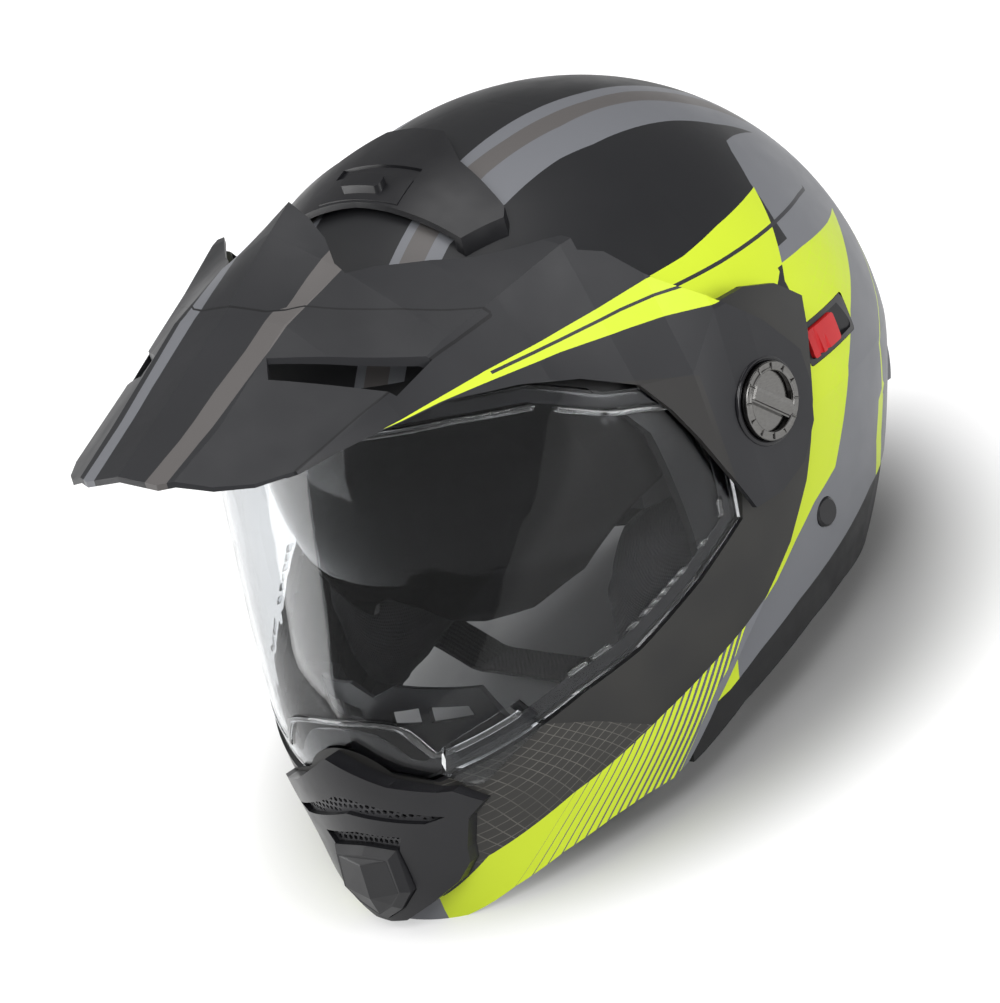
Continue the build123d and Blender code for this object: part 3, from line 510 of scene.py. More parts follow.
def paint_shell():
    """Crown stripes, black fields beside them, and bright fields round the pivot."""
    p = Paint("paint_shell", 0.45)
    crown_from, stripe_end, side_from, bright_to = 196, 112, 70, 191
    first = p.curve(p.y, [(-60, 26), (-25, 27.5), (21, 31.2), (43, 33.2), (65, 33.7), (90, 35),
                          (130, 36)])
    warm_in = p.curve(p.y, [(-60, 30), (-26, 32.6), (-7, 35.7), (16, 38), (38, 39.8), (61, 40), (89, 42),
                            (130, 44)])
    warm_out = p.curve(p.y, [(-60, 39.5), (-27, 41.4), (-8, 44), (14, 46.8), (37, 47.4), (59, 48.6),
                             (82, 52), (105, 53.5), (130, 55)])
    last = p.curve(p.y, [(-60, 45.6), (-35, 55.4), (-3, 58.5), (14, 61.6), (33, 62.6), (58, 63.7),
                         (80, 65.6), (101.5, 64)])
    top = p.over(p.z, crown_from)
    band = p.both(top, p.over(p.ax, first))
    warm = p.both(top, p.over(p.ax, warm_in), p.under(p.ax, warm_out), p.under(p.y, stripe_end))
    # Black field beside the stripes, ending in a point at the back
    field_rear = p.curve(p.ax, [(64, 101.5), (71.4, 81.9), (74.9, 73.7), (79.8, 69.9), (91.5, 63),
                                (102, 60)])
    field = p.both(top, p.over(p.ax, last), p.under(p.y, field_rear))
    # Bright wedge above the pivot, with a black corner cut out of its end
    wedge_low, notch_low, notch_high = 150, 176, 190
    swoosh_top = p.curve(p.y, [(-60, 207), (-14.7, 210.9), (3.8, 211.6), (27.7, 214.5), (63, 216.9)])
    corner = p.curve(p.z, [(184.5, 43.9), (190.8, 48.3), (203.3, 56.3), (216.9, 63), (240, 77)])
    wide = p.over(p.ax, side_from)
    swoosh = p.both(wide, p.under(p.z, swoosh_top), p.under(p.y, corner), p.over(p.z, wedge_low))
    notch = p.curve(p.z, [(182, 34), (188.5, 44)])
    black_corner = p.both(wide, p.over(p.y, notch), p.under(p.z, notch_high), p.under(p.y, corner),
                          p.over(p.z, notch_low))
    # Second bright field, behind the pivot
    bright_top = p.curve(p.y, [(47.9, 190.5), (66.8, 190), (98.4, 187.5), (115, 187)])
    bright_rear = p.curve(p.z, [(60, -30), (68.6, -18), (76.9, -4.8), (88.6, 8.9), (98.4, 23),
                                (105.8, 40.3), (122, 51.1), (140.6, 62.3), (157.3, 78.9), (166.7, 91.9),
                                (181.1, 108.9), (187, 115)])
    bright = p.both(p.under(p.z, bright_top), p.under(p.y, bright_rear), p.under(p.z, bright_to),
                    p.minus(1.0, swoosh))
    # Thin bright line and patch at the back
    line_top, line_inner = 178, 40
    line_y = p.curve(p.z, [(97.6, 83.5), (113.1, 89.6), (115.5, 96.2), (134.7, 98), (147.2, 114.2),
                           (165, 128), (178, 134)])
    line_wide = p.curve(p.z, [(60, 9), (112, 9), (118, 2.2), (150, 1.4), (178, 0.2)])
    off_line = p.minus(p.y, line_y)
    tail = p.both(p.over(off_line, 0.0), p.under(off_line, line_wide), p.under(p.z, line_top),
                  p.over(p.ax, line_inner))
    # Thin dark line through the bright wedge
    dark_half, dark_end = 0.7, 99
    dark_z = p.curve(p.y, [(-40, 206), (-12, 204.1), (17, 203.5), (68, 203.3), (89, 203), (98, 202.2),
                           (103, 206)])
    dark_line = p.both(p.near(p.z, dark_z, dark_half), p.under(p.y, dark_end), wide)
    net_cell, net_lean, net_from = 6.0, -0.35, -2
    net = p.both(topographic(p, net_cell), p.over(p.plus(p.y, p.times(p.z, net_lean)), net_from))
    # Black in front of this line: the shell's own lip behind the eye port
    ahead = p.under(p.y, p.curve(p.z, [(40, -60), (60, -38), (70, -26), (80, -14), (90, -6), (140, -4),
                                       (190, -12), (203, -16), (206, -400)]))
    col = p.mix(band, charcoal, cool_grey)
    col = p.mix(warm, col, warm_grey)
    col = p.mix(p.either(p.over(p.ax, last), p.under(p.z, crown_from)), col, cool_grey)
    col = p.mix(field, col, charcoal)
    col = p.mix(swoosh, col, neon)
    col = p.mix(bright, col, p.mix(net, neon, neon_net))
    col = p.mix(tail, col, neon)
    col = p.mix(black_corner, col, charcoal)
    col = p.mix(dark_line, col, line_black)
    col = p.mix(ahead, col, deep_black)
    col = p.mix(p.outside(), deep_black, col)
    return p.finish_paint(col, 0.38, 0.46)


def paint_chin():
    """Bright low edge with slanting stripes that widen backwards, under a dark field with a net."""
    p = Paint("paint_chin", 0.45)
    edge = p.curve(p.y, [(-165, -14), (-152, -10), (-139.8, -2.6), (-130.6, 12.7), (-106.1, 30.5),
                         (-71.3, 49.2), (-30.4, 68.2), (-10, 80)])
    low = p.under(p.z, edge)
    stripe_pitch = 2.6
    u = p.minus(p.times(p.y, 0.866), p.times(p.z, 0.5))
    share = p.curve(u, [(-108, 0.0), (-104, 0.10), (-88, 0.26), (-70, 0.5), (-55, 0.62)])
    stripe = p.under(p.math("FRACT", p.divide(u, stripe_pitch)), share)
    grey_from = p.curve(p.z, [(10, -70), (22.8, -62.9), (37, -55.1), (48.8, -47), (58.9, -35.9),
                              (67.9, -29.9), (80, -22)])
    grey = p.both(low, p.over(p.y, grey_from))
    net_cell, net_rear, net_inner = 4.2, -60, 38
    net_edge = p.curve(p.z, [(0, -95), (30, -88), (45, -72), (58, -96), (66, -118)])
    net_zone = p.both(p.over(p.z, edge), p.under(p.y, net_edge), p.under(p.y, net_rear),
                      p.over(p.ax, net_inner))
    net = p.both(topographic(p, net_cell), net_zone, p.remap(p.noise(0.05), 0.35, 0.6, 0.35, 1.0))
    soft = p.remap(p.noise(0.03, 1.0), 0.35, 0.65, 0.0, 1.0)
    middle_half, middle_top = 20, 0
    middle = p.both(p.under(p.ax, middle_half), p.under(p.z, middle_top))
    base = p.mix(soft, chin_dark, chin_light)
    col = p.mix(p.both(net_zone, p.minus(1.0, low)), base, chin_net)
    col = p.mix(net, col, net_grey)
    col = p.mix(low, col, neon)
    col = p.mix(p.both(low, stripe), col, stripe_grey)
    col = p.mix(grey, col, cool_grey)
    col = p.mix(p.both(low, middle), col, cool_grey)
    col = p.mix(p.outside(), deep_black, col)
    return p.finish_paint(col, 0.36, 0.46)


def paint_peak():
    """Two stripes along the middle, a bright line low on each side with painted light on the arm below it,
    and painted shade lines along the folds.
    """
    p = Paint("paint_peak", 0.5)
    near_in = p.curve(p.y, [(-214, 13.8), (-193.7, 16.7), (-171.3, 18), (-153.4, 20.4), (-135.4, 21.2),
                            (-131.8, 25.5), (-116.9, 24.4), (-105, 24.4)])
    near_out = p.curve(p.y, [(-214, 23.5), (-192.2, 25.8), (-168.7, 28.8), (-150.7, 31.1),
                             (-132.5, 32.3), (-117.7, 33.4), (-105, 34.1)])
    far_in = p.curve(p.y, [(-214, -15), (-172, -18), (-136, -19), (-105, -24)])
    far_out = p.curve(p.y, [(-214, -23), (-172, -26), (-136, -28), (-105, -34)])
    near = p.both(p.over(p.x, near_in), p.under(p.x, near_out))
    far = p.both(p.under(p.x, far_in), p.over(p.x, far_out))
    # Bright line and the thin dark one above it
    side_from, side_ahead, thin_half, thin_ahead = 60, -147, 0.6, -102
    low = p.curve(p.y, [(-146.4, 204.1), (-124.5, 205.3), (-107.3, 205.4), (-74.4, 204.5),
                        (-44.2, 202.1), (-12.9, 198.9)])
    high = p.curve(p.y, [(-146.4, 204.2), (-125.5, 206.6), (-104.4, 209), (-78.7, 210.8), (-51.9, 213.6),
                         (-29.3, 216.1), (-10, 218)])
    flank = p.both(p.over(p.ax, side_from), p.over(p.y, side_ahead))
    bright = p.both(flank, p.over(p.z, low), p.under(p.z, high))
    thin = p.curve(p.y, [(-102.3, 207.7), (-72.1, 208.5), (-45.3, 209.6), (-21.5, 209.2)])
    thin_on = p.both(p.near(p.z, thin, thin_half), p.over(p.y, thin_ahead), flank)
    # Painted light: the arm under the bright line is drawn slightly lighter and warmer than the rest of the
    # peak
    lit_arm_rear = -28
    lit_arm_top = p.curve(p.y, [(-146, 200), (-60, 186), (-30, 176), (10, 160)])
    arm_painted_light = p.both(flank, p.under(p.z, lit_arm_top), p.under(p.y, lit_arm_rear))
    # Painted shade: thin dark lines along the front fold and down the flank crease
    fold_half, fold_low, fold_end = 0.45, 224, 88
    fold_y = p.curve(p.ax, [(0, -137.5), (18, -136), (25.7, -133.2), (42.7, -121.4), (60.6, -108.1),
                            (76, -97.8), (87.8, -89.2)])
    fold_shade_line = p.both(p.near(p.y, fold_y, fold_half), p.over(p.z, fold_low), p.under(p.ax, fold_end))
    crease_half, crease_end, crease_low = 0.35, -89, 198
    crease_x = p.curve(p.y, [(-182, 61.9), (-170.5, 65), (-150.9, 69.9), (-113.1, 80.8), (-89.8, 88.1)])
    crease_shade_line = p.both(p.near(p.ax, crease_x, crease_half), p.under(p.y, crease_end),
                    p.over(p.z, crease_low))
    base = p.mix(p.cloudy(0.02, 1.0, 0.0, 1.0), peak_dark, peak_light)
    # Painted light on the arm
    col = p.mix(arm_painted_light, base, peak_arm_painted_light)
    col = p.mix(near, col, warm_grey)
    col = p.mix(far, col, cool_grey)
    col = p.mix(bright, col, neon)
    col = p.mix(thin_on, col, line_black)
    # Painted shade in the fold and the crease
    col = p.mix(p.either(fold_shade_line, crease_shade_line), col, crease_shade_black)
    return p.finish_paint(col, 0.42, 0.5)


def moulded(name, dark, light, rough, grain, grain_scale):
    """Moulded plastic or rubber: a fine texture, slightly uneven in colour and gloss."""
    p = Paint(name, rough[0])
    p.shader.inputs["Specular IOR Level"].default_value = moulded_specular
    p.colour(p.mix(p.cloudy(0.04, 3.0, 0.0, 1.0), rgb(*dark), rgb(*light)))
    p.gloss(p.cloudy(0.09, 2.0, *rough))
    p.bump(p.noise(grain_scale, 3.0), grain, grain_deep)
    return p.mat


def brushed(name, dark, light, rough):
    """Metal with fine turning marks."""
    p = Paint(name, rough, metallic=1.0)
    p.colour(p.mix(p.noise(0.5, 2.0, stretch=(1, 1, 8)), rgb(*dark), rgb(*light)))
    p.gloss(p.cloudy(0.2, 2.0, rough * 0.8, rough * 1.25))
    p.bump(p.noise(2.5, 2.0, stretch=(1, 1, 6)), 0.06, turning_deep)
    return p.mat


def knitted(name, dark, light):
    """Knitted cloth: small round loops in staggered rows."""
    pitch, slant = 1.5, 0.6
    p = Paint(name, 0.9)
    k = 2 * pi / pitch
    u = p.sine(p.times(p.plus(p.x, p.times(p.y, slant)), k))
    v = p.sine(p.times(p.minus(p.z, p.times(p.y, slant)), k))
    loops = p.times(u, v)
    tone = p.remap(p.plus(loops, p.cloudy(0.06, 2.0, -0.25, 0.25)), -0.8, 0.8, 0.0, 1.0)
    p.colour(p.mix(tone, rgb(*dark), rgb(*light)))
    p.shader.inputs["Sheen Weight"].default_value = 0.05
    p.shader.inputs["Sheen Roughness"].default_value = 0.5
    p.bump(loops, 0.5, loop_deep)
    return p.mat


def beads(name, dark, light):
    """Expanded foam: pressed beads, seen as small cells."""
    p = Paint(name, 0.8)
    cell = p.add("ShaderNodeTexVoronoi")
    cell.inputs["Scale"].default_value = 0.35
    p.link(p.place, cell.inputs["Vector"])
    p.colour(p.mix(p.remap(cell.outputs["Distance"], 0.0, 0.8, 0.0, 1.0), rgb(*light), rgb(*dark)))
    p.bump(cell.outputs["Distance"], 0.25, bead_deep)
    return p.mat


def webbing(name, dark, light):
    """Flat woven strap with a rib across."""
    rib_pitch, cross_pitch = 1.2, 2.4
    p = Paint(name, 0.75)
    rib = p.sine(p.times(p.z, 2 * pi / rib_pitch))
    cross = p.sine(p.times(p.plus(p.y, p.x), 2 * pi / cross_pitch))
    weave = p.times(rib, cross)
    p.colour(p.mix(p.remap(weave, -0.9, 0.9, 0.0, 1.0), rgb(*dark), rgb(*light)))
    p.shader.inputs["Sheen Weight"].default_value = 0.15
    p.bump(weave, 0.45, weave_deep)
    return p.mat


def glassy(name, tint, rough, bend):
    """Clear or smoked polycarbonate with a faint haze of fine wipe marks."""
    haze, uneven = 0.02, 0.97
    p = Paint(name, rough)
    p.shader.inputs["Transmission Weight"].default_value = 1.0
    p.shader.inputs["IOR"].default_value = bend
    shade = tuple(c * uneven for c in tint)
    p.colour(p.mix(p.cloudy(0.02, 2.0, 0.0, 1.0), rgb(*tint), rgb(*shade)))
    marks = p.noise(0.05, 3.0, stretch=(1, 1, 4))
    p.gloss(p.remap(marks, drift_low, drift_high, rough, rough + haze))
    return p.mat


shell_paint, chin_paint, peak_paint = paint_shell(), paint_chin(), paint_peak()
vent_black = moulded("vent_black", (0.010, 0.010, 0.0115), (0.014, 0.014, 0.016), rough=(0.28, 0.38),
                     grain=0.10, grain_scale=2.2)
gloss_black = moulded("gloss_black", (0.010, 0.010, 0.012), (0.014, 0.014, 0.016), rough=(0.10, 0.16),
                      grain=0.03, grain_scale=0.8)
trim_rubber = moulded("trim_rubber", (0.012, 0.012, 0.013), (0.018, 0.018, 0.019), rough=(0.50, 0.62),
                      grain=0.25, grain_scale=1.2)
red_lever = moulded("red_lever", (0.44, 0.008, 0.012), (0.52, 0.012, 0.016), rough=(0.32, 0.40),
                    grain=0.10, grain_scale=2.0)
mesh_black = moulded("mesh_black", (0.040, 0.040, 0.043), (0.058, 0.058, 0.062), rough=(0.42, 0.55),
                     grain=0.12, grain_scale=2.0)
dark_chrome = brushed("dark_chrome", (0.10, 0.098, 0.095), (0.20, 0.196, 0.19), 0.17)
steel = brushed("steel", (0.45, 0.45, 0.46), (0.60, 0.60, 0.61), 0.32)
pad_cloth = knitted("pad_cloth", (0.006, 0.006, 0.007), (0.026, 0.026, 0.029))
foam_black = beads("foam_black", (0.005, 0.005, 0.006), (0.014, 0.014, 0.015))
strap_web = webbing("strap_web", (0.010, 0.010, 0.011), (0.040, 0.040, 0.043))
clear_shield = glassy("clear_shield", (0.80, 0.815, 0.83), 0.012, 1.25)
rim_clear = glassy("rim_clear", (0.86, 0.87, 0.88), 0.03, 1.5)
smoked_visor = glassy("smoked_visor", (0.014, 0.014, 0.016), 0.03, 1.2)

finishes = [
    (shell_paint, ["outer_shell", "rear_exhaust"]),
    (chin_paint, ["chin_bar"]),
    (peak_paint, ["peak"]),
    (vent_black, ["top_vent_scoop", "top_vent_slider", "side_plug_left", "side_plug_right",
                  "lever_guide", "strap_buckle", "breath_guard", "chin_vent_cover",
                  "chin_vent_toggle", "release_base"]),
    (trim_rubber, ["edge_trim", "brow_seal", "window_seal"]),
    (red_lever, ["visor_lever", "release_button"]),
    (mesh_black, ["chin_mesh_upper", "chin_mesh_lower"]),
    (dark_chrome, ["peak_knob_left", "peak_knob_right"]),
    (steel, ["pivot_post_left", "pivot_post_right"]),
    (pad_cloth, ["crown_pad", "neck_roll", "cheek_pad_left", "cheek_pad_right"]),
    (foam_black, ["impact_liner", "chin_liner"]),
    (strap_web, ["strap_left", "strap_right"]),
    (clear_shield, ["face_shield"]),
    (smoked_visor, ["sun_visor"]),
]
for mat, names in finishes:
    for name in names:
        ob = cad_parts[name]
        if not ob.material_slots:
            ob.data.materials.append(mat)
        for s in ob.material_slots:
            s.material = mat


# Pads: the solid's own form, swollen as cloth under pressure and held within a few millimetres
pad_cap, pad_inset = 0.004, 0.0015
pad_pressure, pad_quality, pad_frames = 4.0, 4, 20


def swollen(node, voxel):
    """Cloth copy of a pad: remeshed, drawn in a little, blown up, capped and rounded."""
    soft = joined(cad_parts[node].data.copy(), node + "_cloth")
    soft.data.materials.clear()
    soft.data.materials.append(pad_cloth)

    def settle():
        deps = bpy.context.evaluated_depsgraph_get()
        made = bpy.data.meshes.new_from_object(soft.evaluated_get(deps))
        soft.modifiers.clear()
        soft.data = made
    grid = soft.modifiers.new("grid", "REMESH")
    grid.mode = "VOXEL"
    grid.voxel_size = voxel
    settle()
    for v in soft.data.vertices:
        v.co -= v.normal * pad_inset
    start = np.array([v.co[:] for v in soft.data.vertices])
    cloth = soft.modifiers.new("cloth", "CLOTH")
    cloth.settings.use_pressure = True
    cloth.settings.uniform_pressure_force = pad_pressure
    cloth.settings.effector_weights.gravity = 0.0
    cloth.settings.quality = pad_quality
    cloth.collision_settings.use_collision = False
    for f in range(1, pad_frames + 1):
        bpy.context.scene.frame_set(f)
    settle()
    bpy.context.scene.frame_set(1)
    move = np.array([v.co[:] for v in soft.data.vertices]) - start
    far = np.linalg.norm(move, axis=1)[:, None]
    end = start + move * np.minimum(1.0, pad_cap / np.maximum(far, 1e-9))
    for v, at in zip(soft.data.vertices, end):
        v.co = at
    soft.data.update()
    rounder = soft.modifiers.new("rounder", "SUBSURF")
    rounder.levels = rounder.render_levels = 1
    for p in soft.data.polygons:
        p.use_smooth = True
    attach(soft, "helmet")
    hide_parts(node)


for node, voxel, fill in (("crown_pad", 0.006, 0.5), ("neck_roll", 0.005, 0.7),
                          ("cheek_pad_left", 0.005, 0.7), ("cheek_pad_right", 0.005, 0.7)):
    swollen(node, voxel)


# Perforated panels in the chin's two slots
hole_pitch, hole_radius, grille_wall = 2.9, 1.05, 1.2
row_share = 0.866
cell_radius = hole_pitch / np.sqrt(3)
hexagon = [radians(30 + 60 * k) for k in range(6)]


def perforated(name, outline, depth, node):
    """Sheet of hexagon cells cut to a front outline; depth gives its face from (across, height)."""
    least_room, room_share = 0.6, 0.8
    edge = np.array(outline, float)
    after = np.roll(edge, -1, 0)
    inside = polygon_distance(outline)

    def pulled(x, z):
        """The place itself when it is inside, or else the nearest one on the outline."""
        if inside(x, z) >= 0:
            return x, z
        d = after - edge
        k = np.clip(((x - edge[:, 0]) * d[:, 0] + (z - edge[:, 1]) * d[:, 1]) / (d ** 2).sum(1), 0, 1)
        spots = edge + d * k[:, None]
        best = spots[np.argmin((spots[:, 0] - x) ** 2 + (spots[:, 1] - z) ** 2)]
        return best[0], best[1]
    low, high = edge.min(0), edge.max(0)
    shape = bmesh.new()
    for row in range(int((high[1] - low[1]) / (hole_pitch * row_share)) + 3):
        for col in range(int((high[0] - low[0]) / hole_pitch) + 3):
            cx = low[0] + (col - 0.5 + 0.5 * (row % 2)) * hole_pitch
            cz = low[1] + (row - 0.5) * hole_pitch * row_share
            room = float(inside(cx, cz))
            if room < -cell_radius:
                continue
            rings = [[pulled(cx + cell_radius * cos(a), cz + cell_radius * sin(a)) for a in hexagon]]
            if room > hole_radius * least_room:
                r = min(hole_radius, room * room_share)
                rings.append([(cx + r * cos(a), cz + r * sin(a)) for a in hexagon])
            made = [[shape.verts.new(place([(x, depth(x, z), z)])[0]) for x, z in ring]
                    for ring in rings]
            if len(made) == 1:
                shape.faces.new(made[0])
                continue
            outer, inner = made
            for k in range(6):
                m = (k + 1) % 6
                shape.faces.new((outer[k], outer[m], inner[m], inner[k]))
    bmesh.ops.remove_doubles(shape, verts=shape.verts, dist=0.00004)
    bmesh.ops.dissolve_degenerate(shape, edges=shape.edges, dist=0.00001)
    bmesh.ops.recalc_face_normals(shape, faces=shape.faces)
    shape.normal_update()
    if sum(f.normal.y for f in shape.faces) > 0:
        bmesh.ops.reverse_faces(shape, faces=shape.faces)
    mesh = bpy.data.meshes.new(name)
    shape.to_mesh(mesh)
    ob = joined(mesh, name)
    mesh.materials.append(mesh_black)
    thick = ob.modifiers.new("thick", "SOLIDIFY")
    thick.thickness, thick.offset = grille_wall / per_metre, -1
    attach(ob, "chin_bar")
    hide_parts(node)


def cover_depth(x, z):
    """Place along of the upper grille, just behind the vent cover's oval."""
    narrower, longer, sunk = -0.050, 0.055, 2.6
    h = z / crown_rise
    a = half_width * (face_ovals.a(h) + narrower) - sunk
    l = half_length * (face_ovals.l(h) + longer) - sunk
    return float(half_length * face_ovals.m(h) - l * np.sqrt(max(1e-6, 1 - (x / a) ** 2)))


# Thick rim of the shield: a black border behind the window and a clear ridge along its inner edge
far_front, chin_gap = -2.0, 0.006
chin_top_shares = [(-0.993, 0.500), (-0.967, 0.405), (-0.921, 0.364), (-0.882, 0.390), (-0.770, 0.449),
                   (-0.645, 0.522), (-0.493, 0.585), (-0.303, 0.706), (-0.150, 0.825)]
shield_top_shares = [(-0.150, 1.260), (-0.400, 1.340), (-0.550, 1.430), (-0.700, 1.450)]
shield_line = side([(far_front, chin_top_shares[0][1] + chin_gap)]
                   + [(a, b + chin_gap) for a, b in chin_top_shares]
                   + shield_top_shares + [(far_front, shield_top_shares[-1][1])])
shield_depth = polygon_distance(shield_line)
strip_turns, strip_heights = np.linspace(-1.5, 1.5, 220), np.linspace(0.34, 1.46, 190)


def shield_strip(name, near, far, grow, wall, mat):
    """Strip between two distances from the shield's edge, grown from its oval and with a wall."""
    def keep(P):
        d = shield_depth(P[..., 1], P[..., 2])
        return np.minimum(d - near, far - d)
    verts, faces = thick_panel(lambda t, h: face_ovals.point(t, h, grow), strip_turns, strip_heights,
                               keep, wall)
    new_object(name, verts, faces, "face_shield", mat)


shield_strip("shield_border", 0.8, 6.5, -3.5, 0.5, gloss_black)
shield_strip("shield_ridge", 7.0, 9.6, -0.9, 1.2, rim_clear)

window_shares = [(0.0, 0.365), (0.330, 0.265), (0.265, 0.252), (0.0, 0.300)]
lower_window_shares = [(0.0, 0.235), (0.170, 0.215), (0.140, 0.160), (0.0, 0.165)]
lower_mesh_front = -148.8
perforated("chin_grille_upper", mirrored(front(window_shares)), cover_depth, "chin_mesh_upper")
perforated("chin_grille_lower", mirrored(front(lower_window_shares)), lambda x, z: lower_mesh_front,
           "chin_mesh_lower")

# Faceted face of the chin toggle: sloping planes that meet in a ridge, over a short skirt
toggle_face, facet_lift, skirt, crest_rise = -155.5, 0.02, 1.2, 2.4
facet = [(-13.6, 20.6), (13.6, 20.6), (15.0, 6.2), (8.6, 0.6), (0.0, -4.4), (-8.6, 0.6), (-15.0, 6.2)]
crest = [(0.0, 18.4), (0.0, 3.4)]
n = len(facet)
verts = [(x, toggle_face - facet_lift, z) for x, z in facet]
verts += [(x, toggle_face + skirt, z) for x, z in facet]
verts += [(x, toggle_face - crest_rise, z) for x, z in crest]
upper, lower = 2 * n, 2 * n + 1
faces = [(0, 1, upper), (1, 2, lower, upper), (2, 3, lower), (3, 4, lower), (4, 5, lower), (5, 6, lower),
         (6, 0, upper, lower)]
faces += [(k, n + k, n + (k + 1) % n, (k + 1) % n) for k in range(n)]
ridge = new_object("toggle_facets", verts, faces, "chin_vent_toggle", vent_black,
                   smooth=False)
round_off = ridge.modifiers.new("edge", "BEVEL")
round_off.width, round_off.segments = 0.0004, 2


# Knob dressing: an inner ring, ribs round the rim, a ridged grip and the black ring of the recess
knob_face = knob_high[0] * per_metre
peak_face, peak_wall = 128.6, 2.4
arm_face = peak_face + peak_wall
rim_profile = [(11.9, -0.5), (12.1, 0.35), (12.6, 0.5), (13.0, 0.1), (14.6, 0.1), (15.0, 0.3),
               (15.4, 0.1), (15.4, -0.5)]
well_profile = [(15.75, -1.0), (15.75, 0.15), (16.3, 0.55), (17.2, 0.55), (17.9, 0.1), (17.9, -1.0)]
rib_count, rib_first, rib_radius, rib_size = 12, 12.0, 13.6, (2.8, 0.9, 0.75)
grip_turn, grip_size = radians(-40.0), (24.0, 6.0, 1.5)
rib_sunk = 0.4


def lathe(name, profile, face, sign, body, mat):
    """Ring about the pivot axis, of a (radius, lift above the face) profile."""
    turns = 72
    verts, faces = [], []
    n = len(profile)
    for k in range(turns):
        a = 2 * pi * k / turns
        for r, lift in profile:
            verts.append((sign * (face + lift), pivot_y + r * cos(a), pivot_z + r * sin(a)))
    for k in range(turns):
        for j in range(n):
            a, b = k * n + j, k * n + (j + 1) % n
            c, d = ((k + 1) % turns) * n + (j + 1) % n, ((k + 1) % turns) * n + j
            faces.append((a, b, c, d) if sign > 0 else (d, c, b, a))
    new_object(name, verts, faces, body, mat)


def rib(radius, size, angle, sign, first):
    """Verts and faces of a ridge on the knob's face, long axis at angle; its verts count from first."""
    length, width, height = size
    along, over = np.array([0, cos(angle), sin(angle)]), np.array([0, -sin(angle), cos(angle)])
    base = np.array([sign * knob_face, pivot_y + radius * cos(angle), pivot_z + radius * sin(angle)])
    up = np.array([sign, 0, 0])
    verts = []
    # Each level: its lift, and its shares of the length and the width
    for lift, long_share, wide_share in ((-rib_sunk, 1.0, 1.0), (height * 0.55, 0.92, 0.86),
                                         (height, 0.98, 0.30)):
        for a, b in ((-1, -1), (1, -1), (1, 1), (-1, 1)):
            verts.append(base + up * lift + along * a * length / 2 * long_share
                         + over * b * width / 2 * wide_share)
    faces = [(0, 3, 2, 1), (8, 9, 10, 11)]
    for j in range(2):
        for k in range(4):
            m = (k + 1) % 4
            faces.append((j * 4 + k, j * 4 + m, j * 4 + 4 + m, j * 4 + 4 + k))
    return verts, [tuple(first + i for i in (f if sign > 0 else f[::-1])) for f in faces]


for word, sign in (("left", 1), ("right", -1)):
    knob = f"peak_knob_{word}"
    lathe(f"knob_rim_{word}", rim_profile, knob_face, sign, knob, dark_chrome)
    verts, faces = [], []
    ribs = [(rib_radius, rib_size, radians(360 / rib_count * k + rib_first)) for k in range(rib_count)]
    for radius, size, angle in ribs + [(0.0, grip_size, grip_turn)]:
        more_verts, more_faces = rib(radius, size, angle, sign, len(verts))
        verts += more_verts
        faces += more_faces
    new_object(f"knob_ribs_{word}", verts, faces, knob, dark_chrome, smooth=False)
    lathe(f"knob_well_{word}", well_profile, arm_face, sign, "peak", gloss_black)


# Chin strap webbing, a band with bound edges that runs along the strap's own line
strap_shares = [(0.765, 0.412), (0.738, 0.334), (0.500, 0.225), (0.000, 0.205), (-0.360, 0.210)]
strap_mid = half_length * -0.020
bend_reach, bend_steps, band_step = 4, 7, 3.0
band_edge = [(-11.0, 0.0), (-10.8, 0.55), (-10.2, 0.85), (-9.5, 0.7), (-5.0, 0.62), (0.0, 0.6),
             (5.0, 0.62), (9.5, 0.7), (10.2, 0.85), (10.8, 0.55)]
band_loop = band_edge + [(-u, -v) for u, v in band_edge]


def unit(v):
    return v / np.linalg.norm(v)


def strap_band(word, sign, count):
    """Band along the first corners of the strap's line, with each corner rounded."""
    corners = [np.array(p) for p in front(strap_shares, sign)[:count]]
    line = [corners[0]]
    for before, at, after in zip(corners, corners[1:], corners[2:]):
        start, end = at + bend_reach * unit(before - at), at + bend_reach * unit(after - at)
        line += [(1 - t) ** 2 * start + 2 * t * (1 - t) * at + t * t * end
                 for t in np.linspace(0, 1, bend_steps)]
    line.append(corners[-1])
    path = [line[0]]
    for a, b in zip(line, line[1:]):
        steps = max(1, int(np.linalg.norm(b - a) / band_step))
        path += [a + (b - a) * k / steps for k in range(1, steps + 1)]
    verts, faces = [], []
    n, last = len(band_loop), len(path) - 1
    for k, at in enumerate(path):
        run = unit(path[min(k + 1, last)] - path[max(k - 1, 0)])
        for u, v in band_loop:
            verts.append((at[0] - run[1] * v, strap_mid + u, at[1] + run[0] * v))
    for k in range(last):
        for j in range(n):
            m = (j + 1) % n
            faces.append((k * n + j, k * n + m, (k + 1) * n + m, (k + 1) * n + j))
    faces += [tuple(range(n))[::-1], tuple(range(last * n, (last + 1) * n))]
    new_object(f"strap_band_{word}", verts, faces, "helmet", strap_web,
               nodes=[f"strap_{word}"])


strap_band("left", 1, 3)
strap_band("right", -1, 5)


# Camera, as found from the photograph, in the wearer's frame
photo_high, focal_pixels, sensor = 1003, 4912.8, 36.0
eye_turn = Vector((-1.071421, -0.665885, -0.469242))
eye_shift = Vector((51.511, -95.234, -2046.305))
from_eye = Matrix.Rotation(eye_turn.length, 3, eye_turn.normalized()).transposed()
eye = -(from_eye @ eye_shift)
camera_data = bpy.data.cameras.new("camera")
camera = joined(camera_data, "camera")
bpy.context.scene.camera = camera
camera_data.sensor_fit = "VERTICAL"
camera_data.sensor_height = camera_data.sensor_width = sensor
camera_data.lens = focal_pixels * sensor / photo_high
camera_data.clip_start, camera_data.clip_end = 0.1, 50.0
pose = (Matrix([list(r) for r in turn]) @ from_eye).to_4x4()
pose.translation = Vector(place([eye[:]])[0])
camera.matrix_world = pose


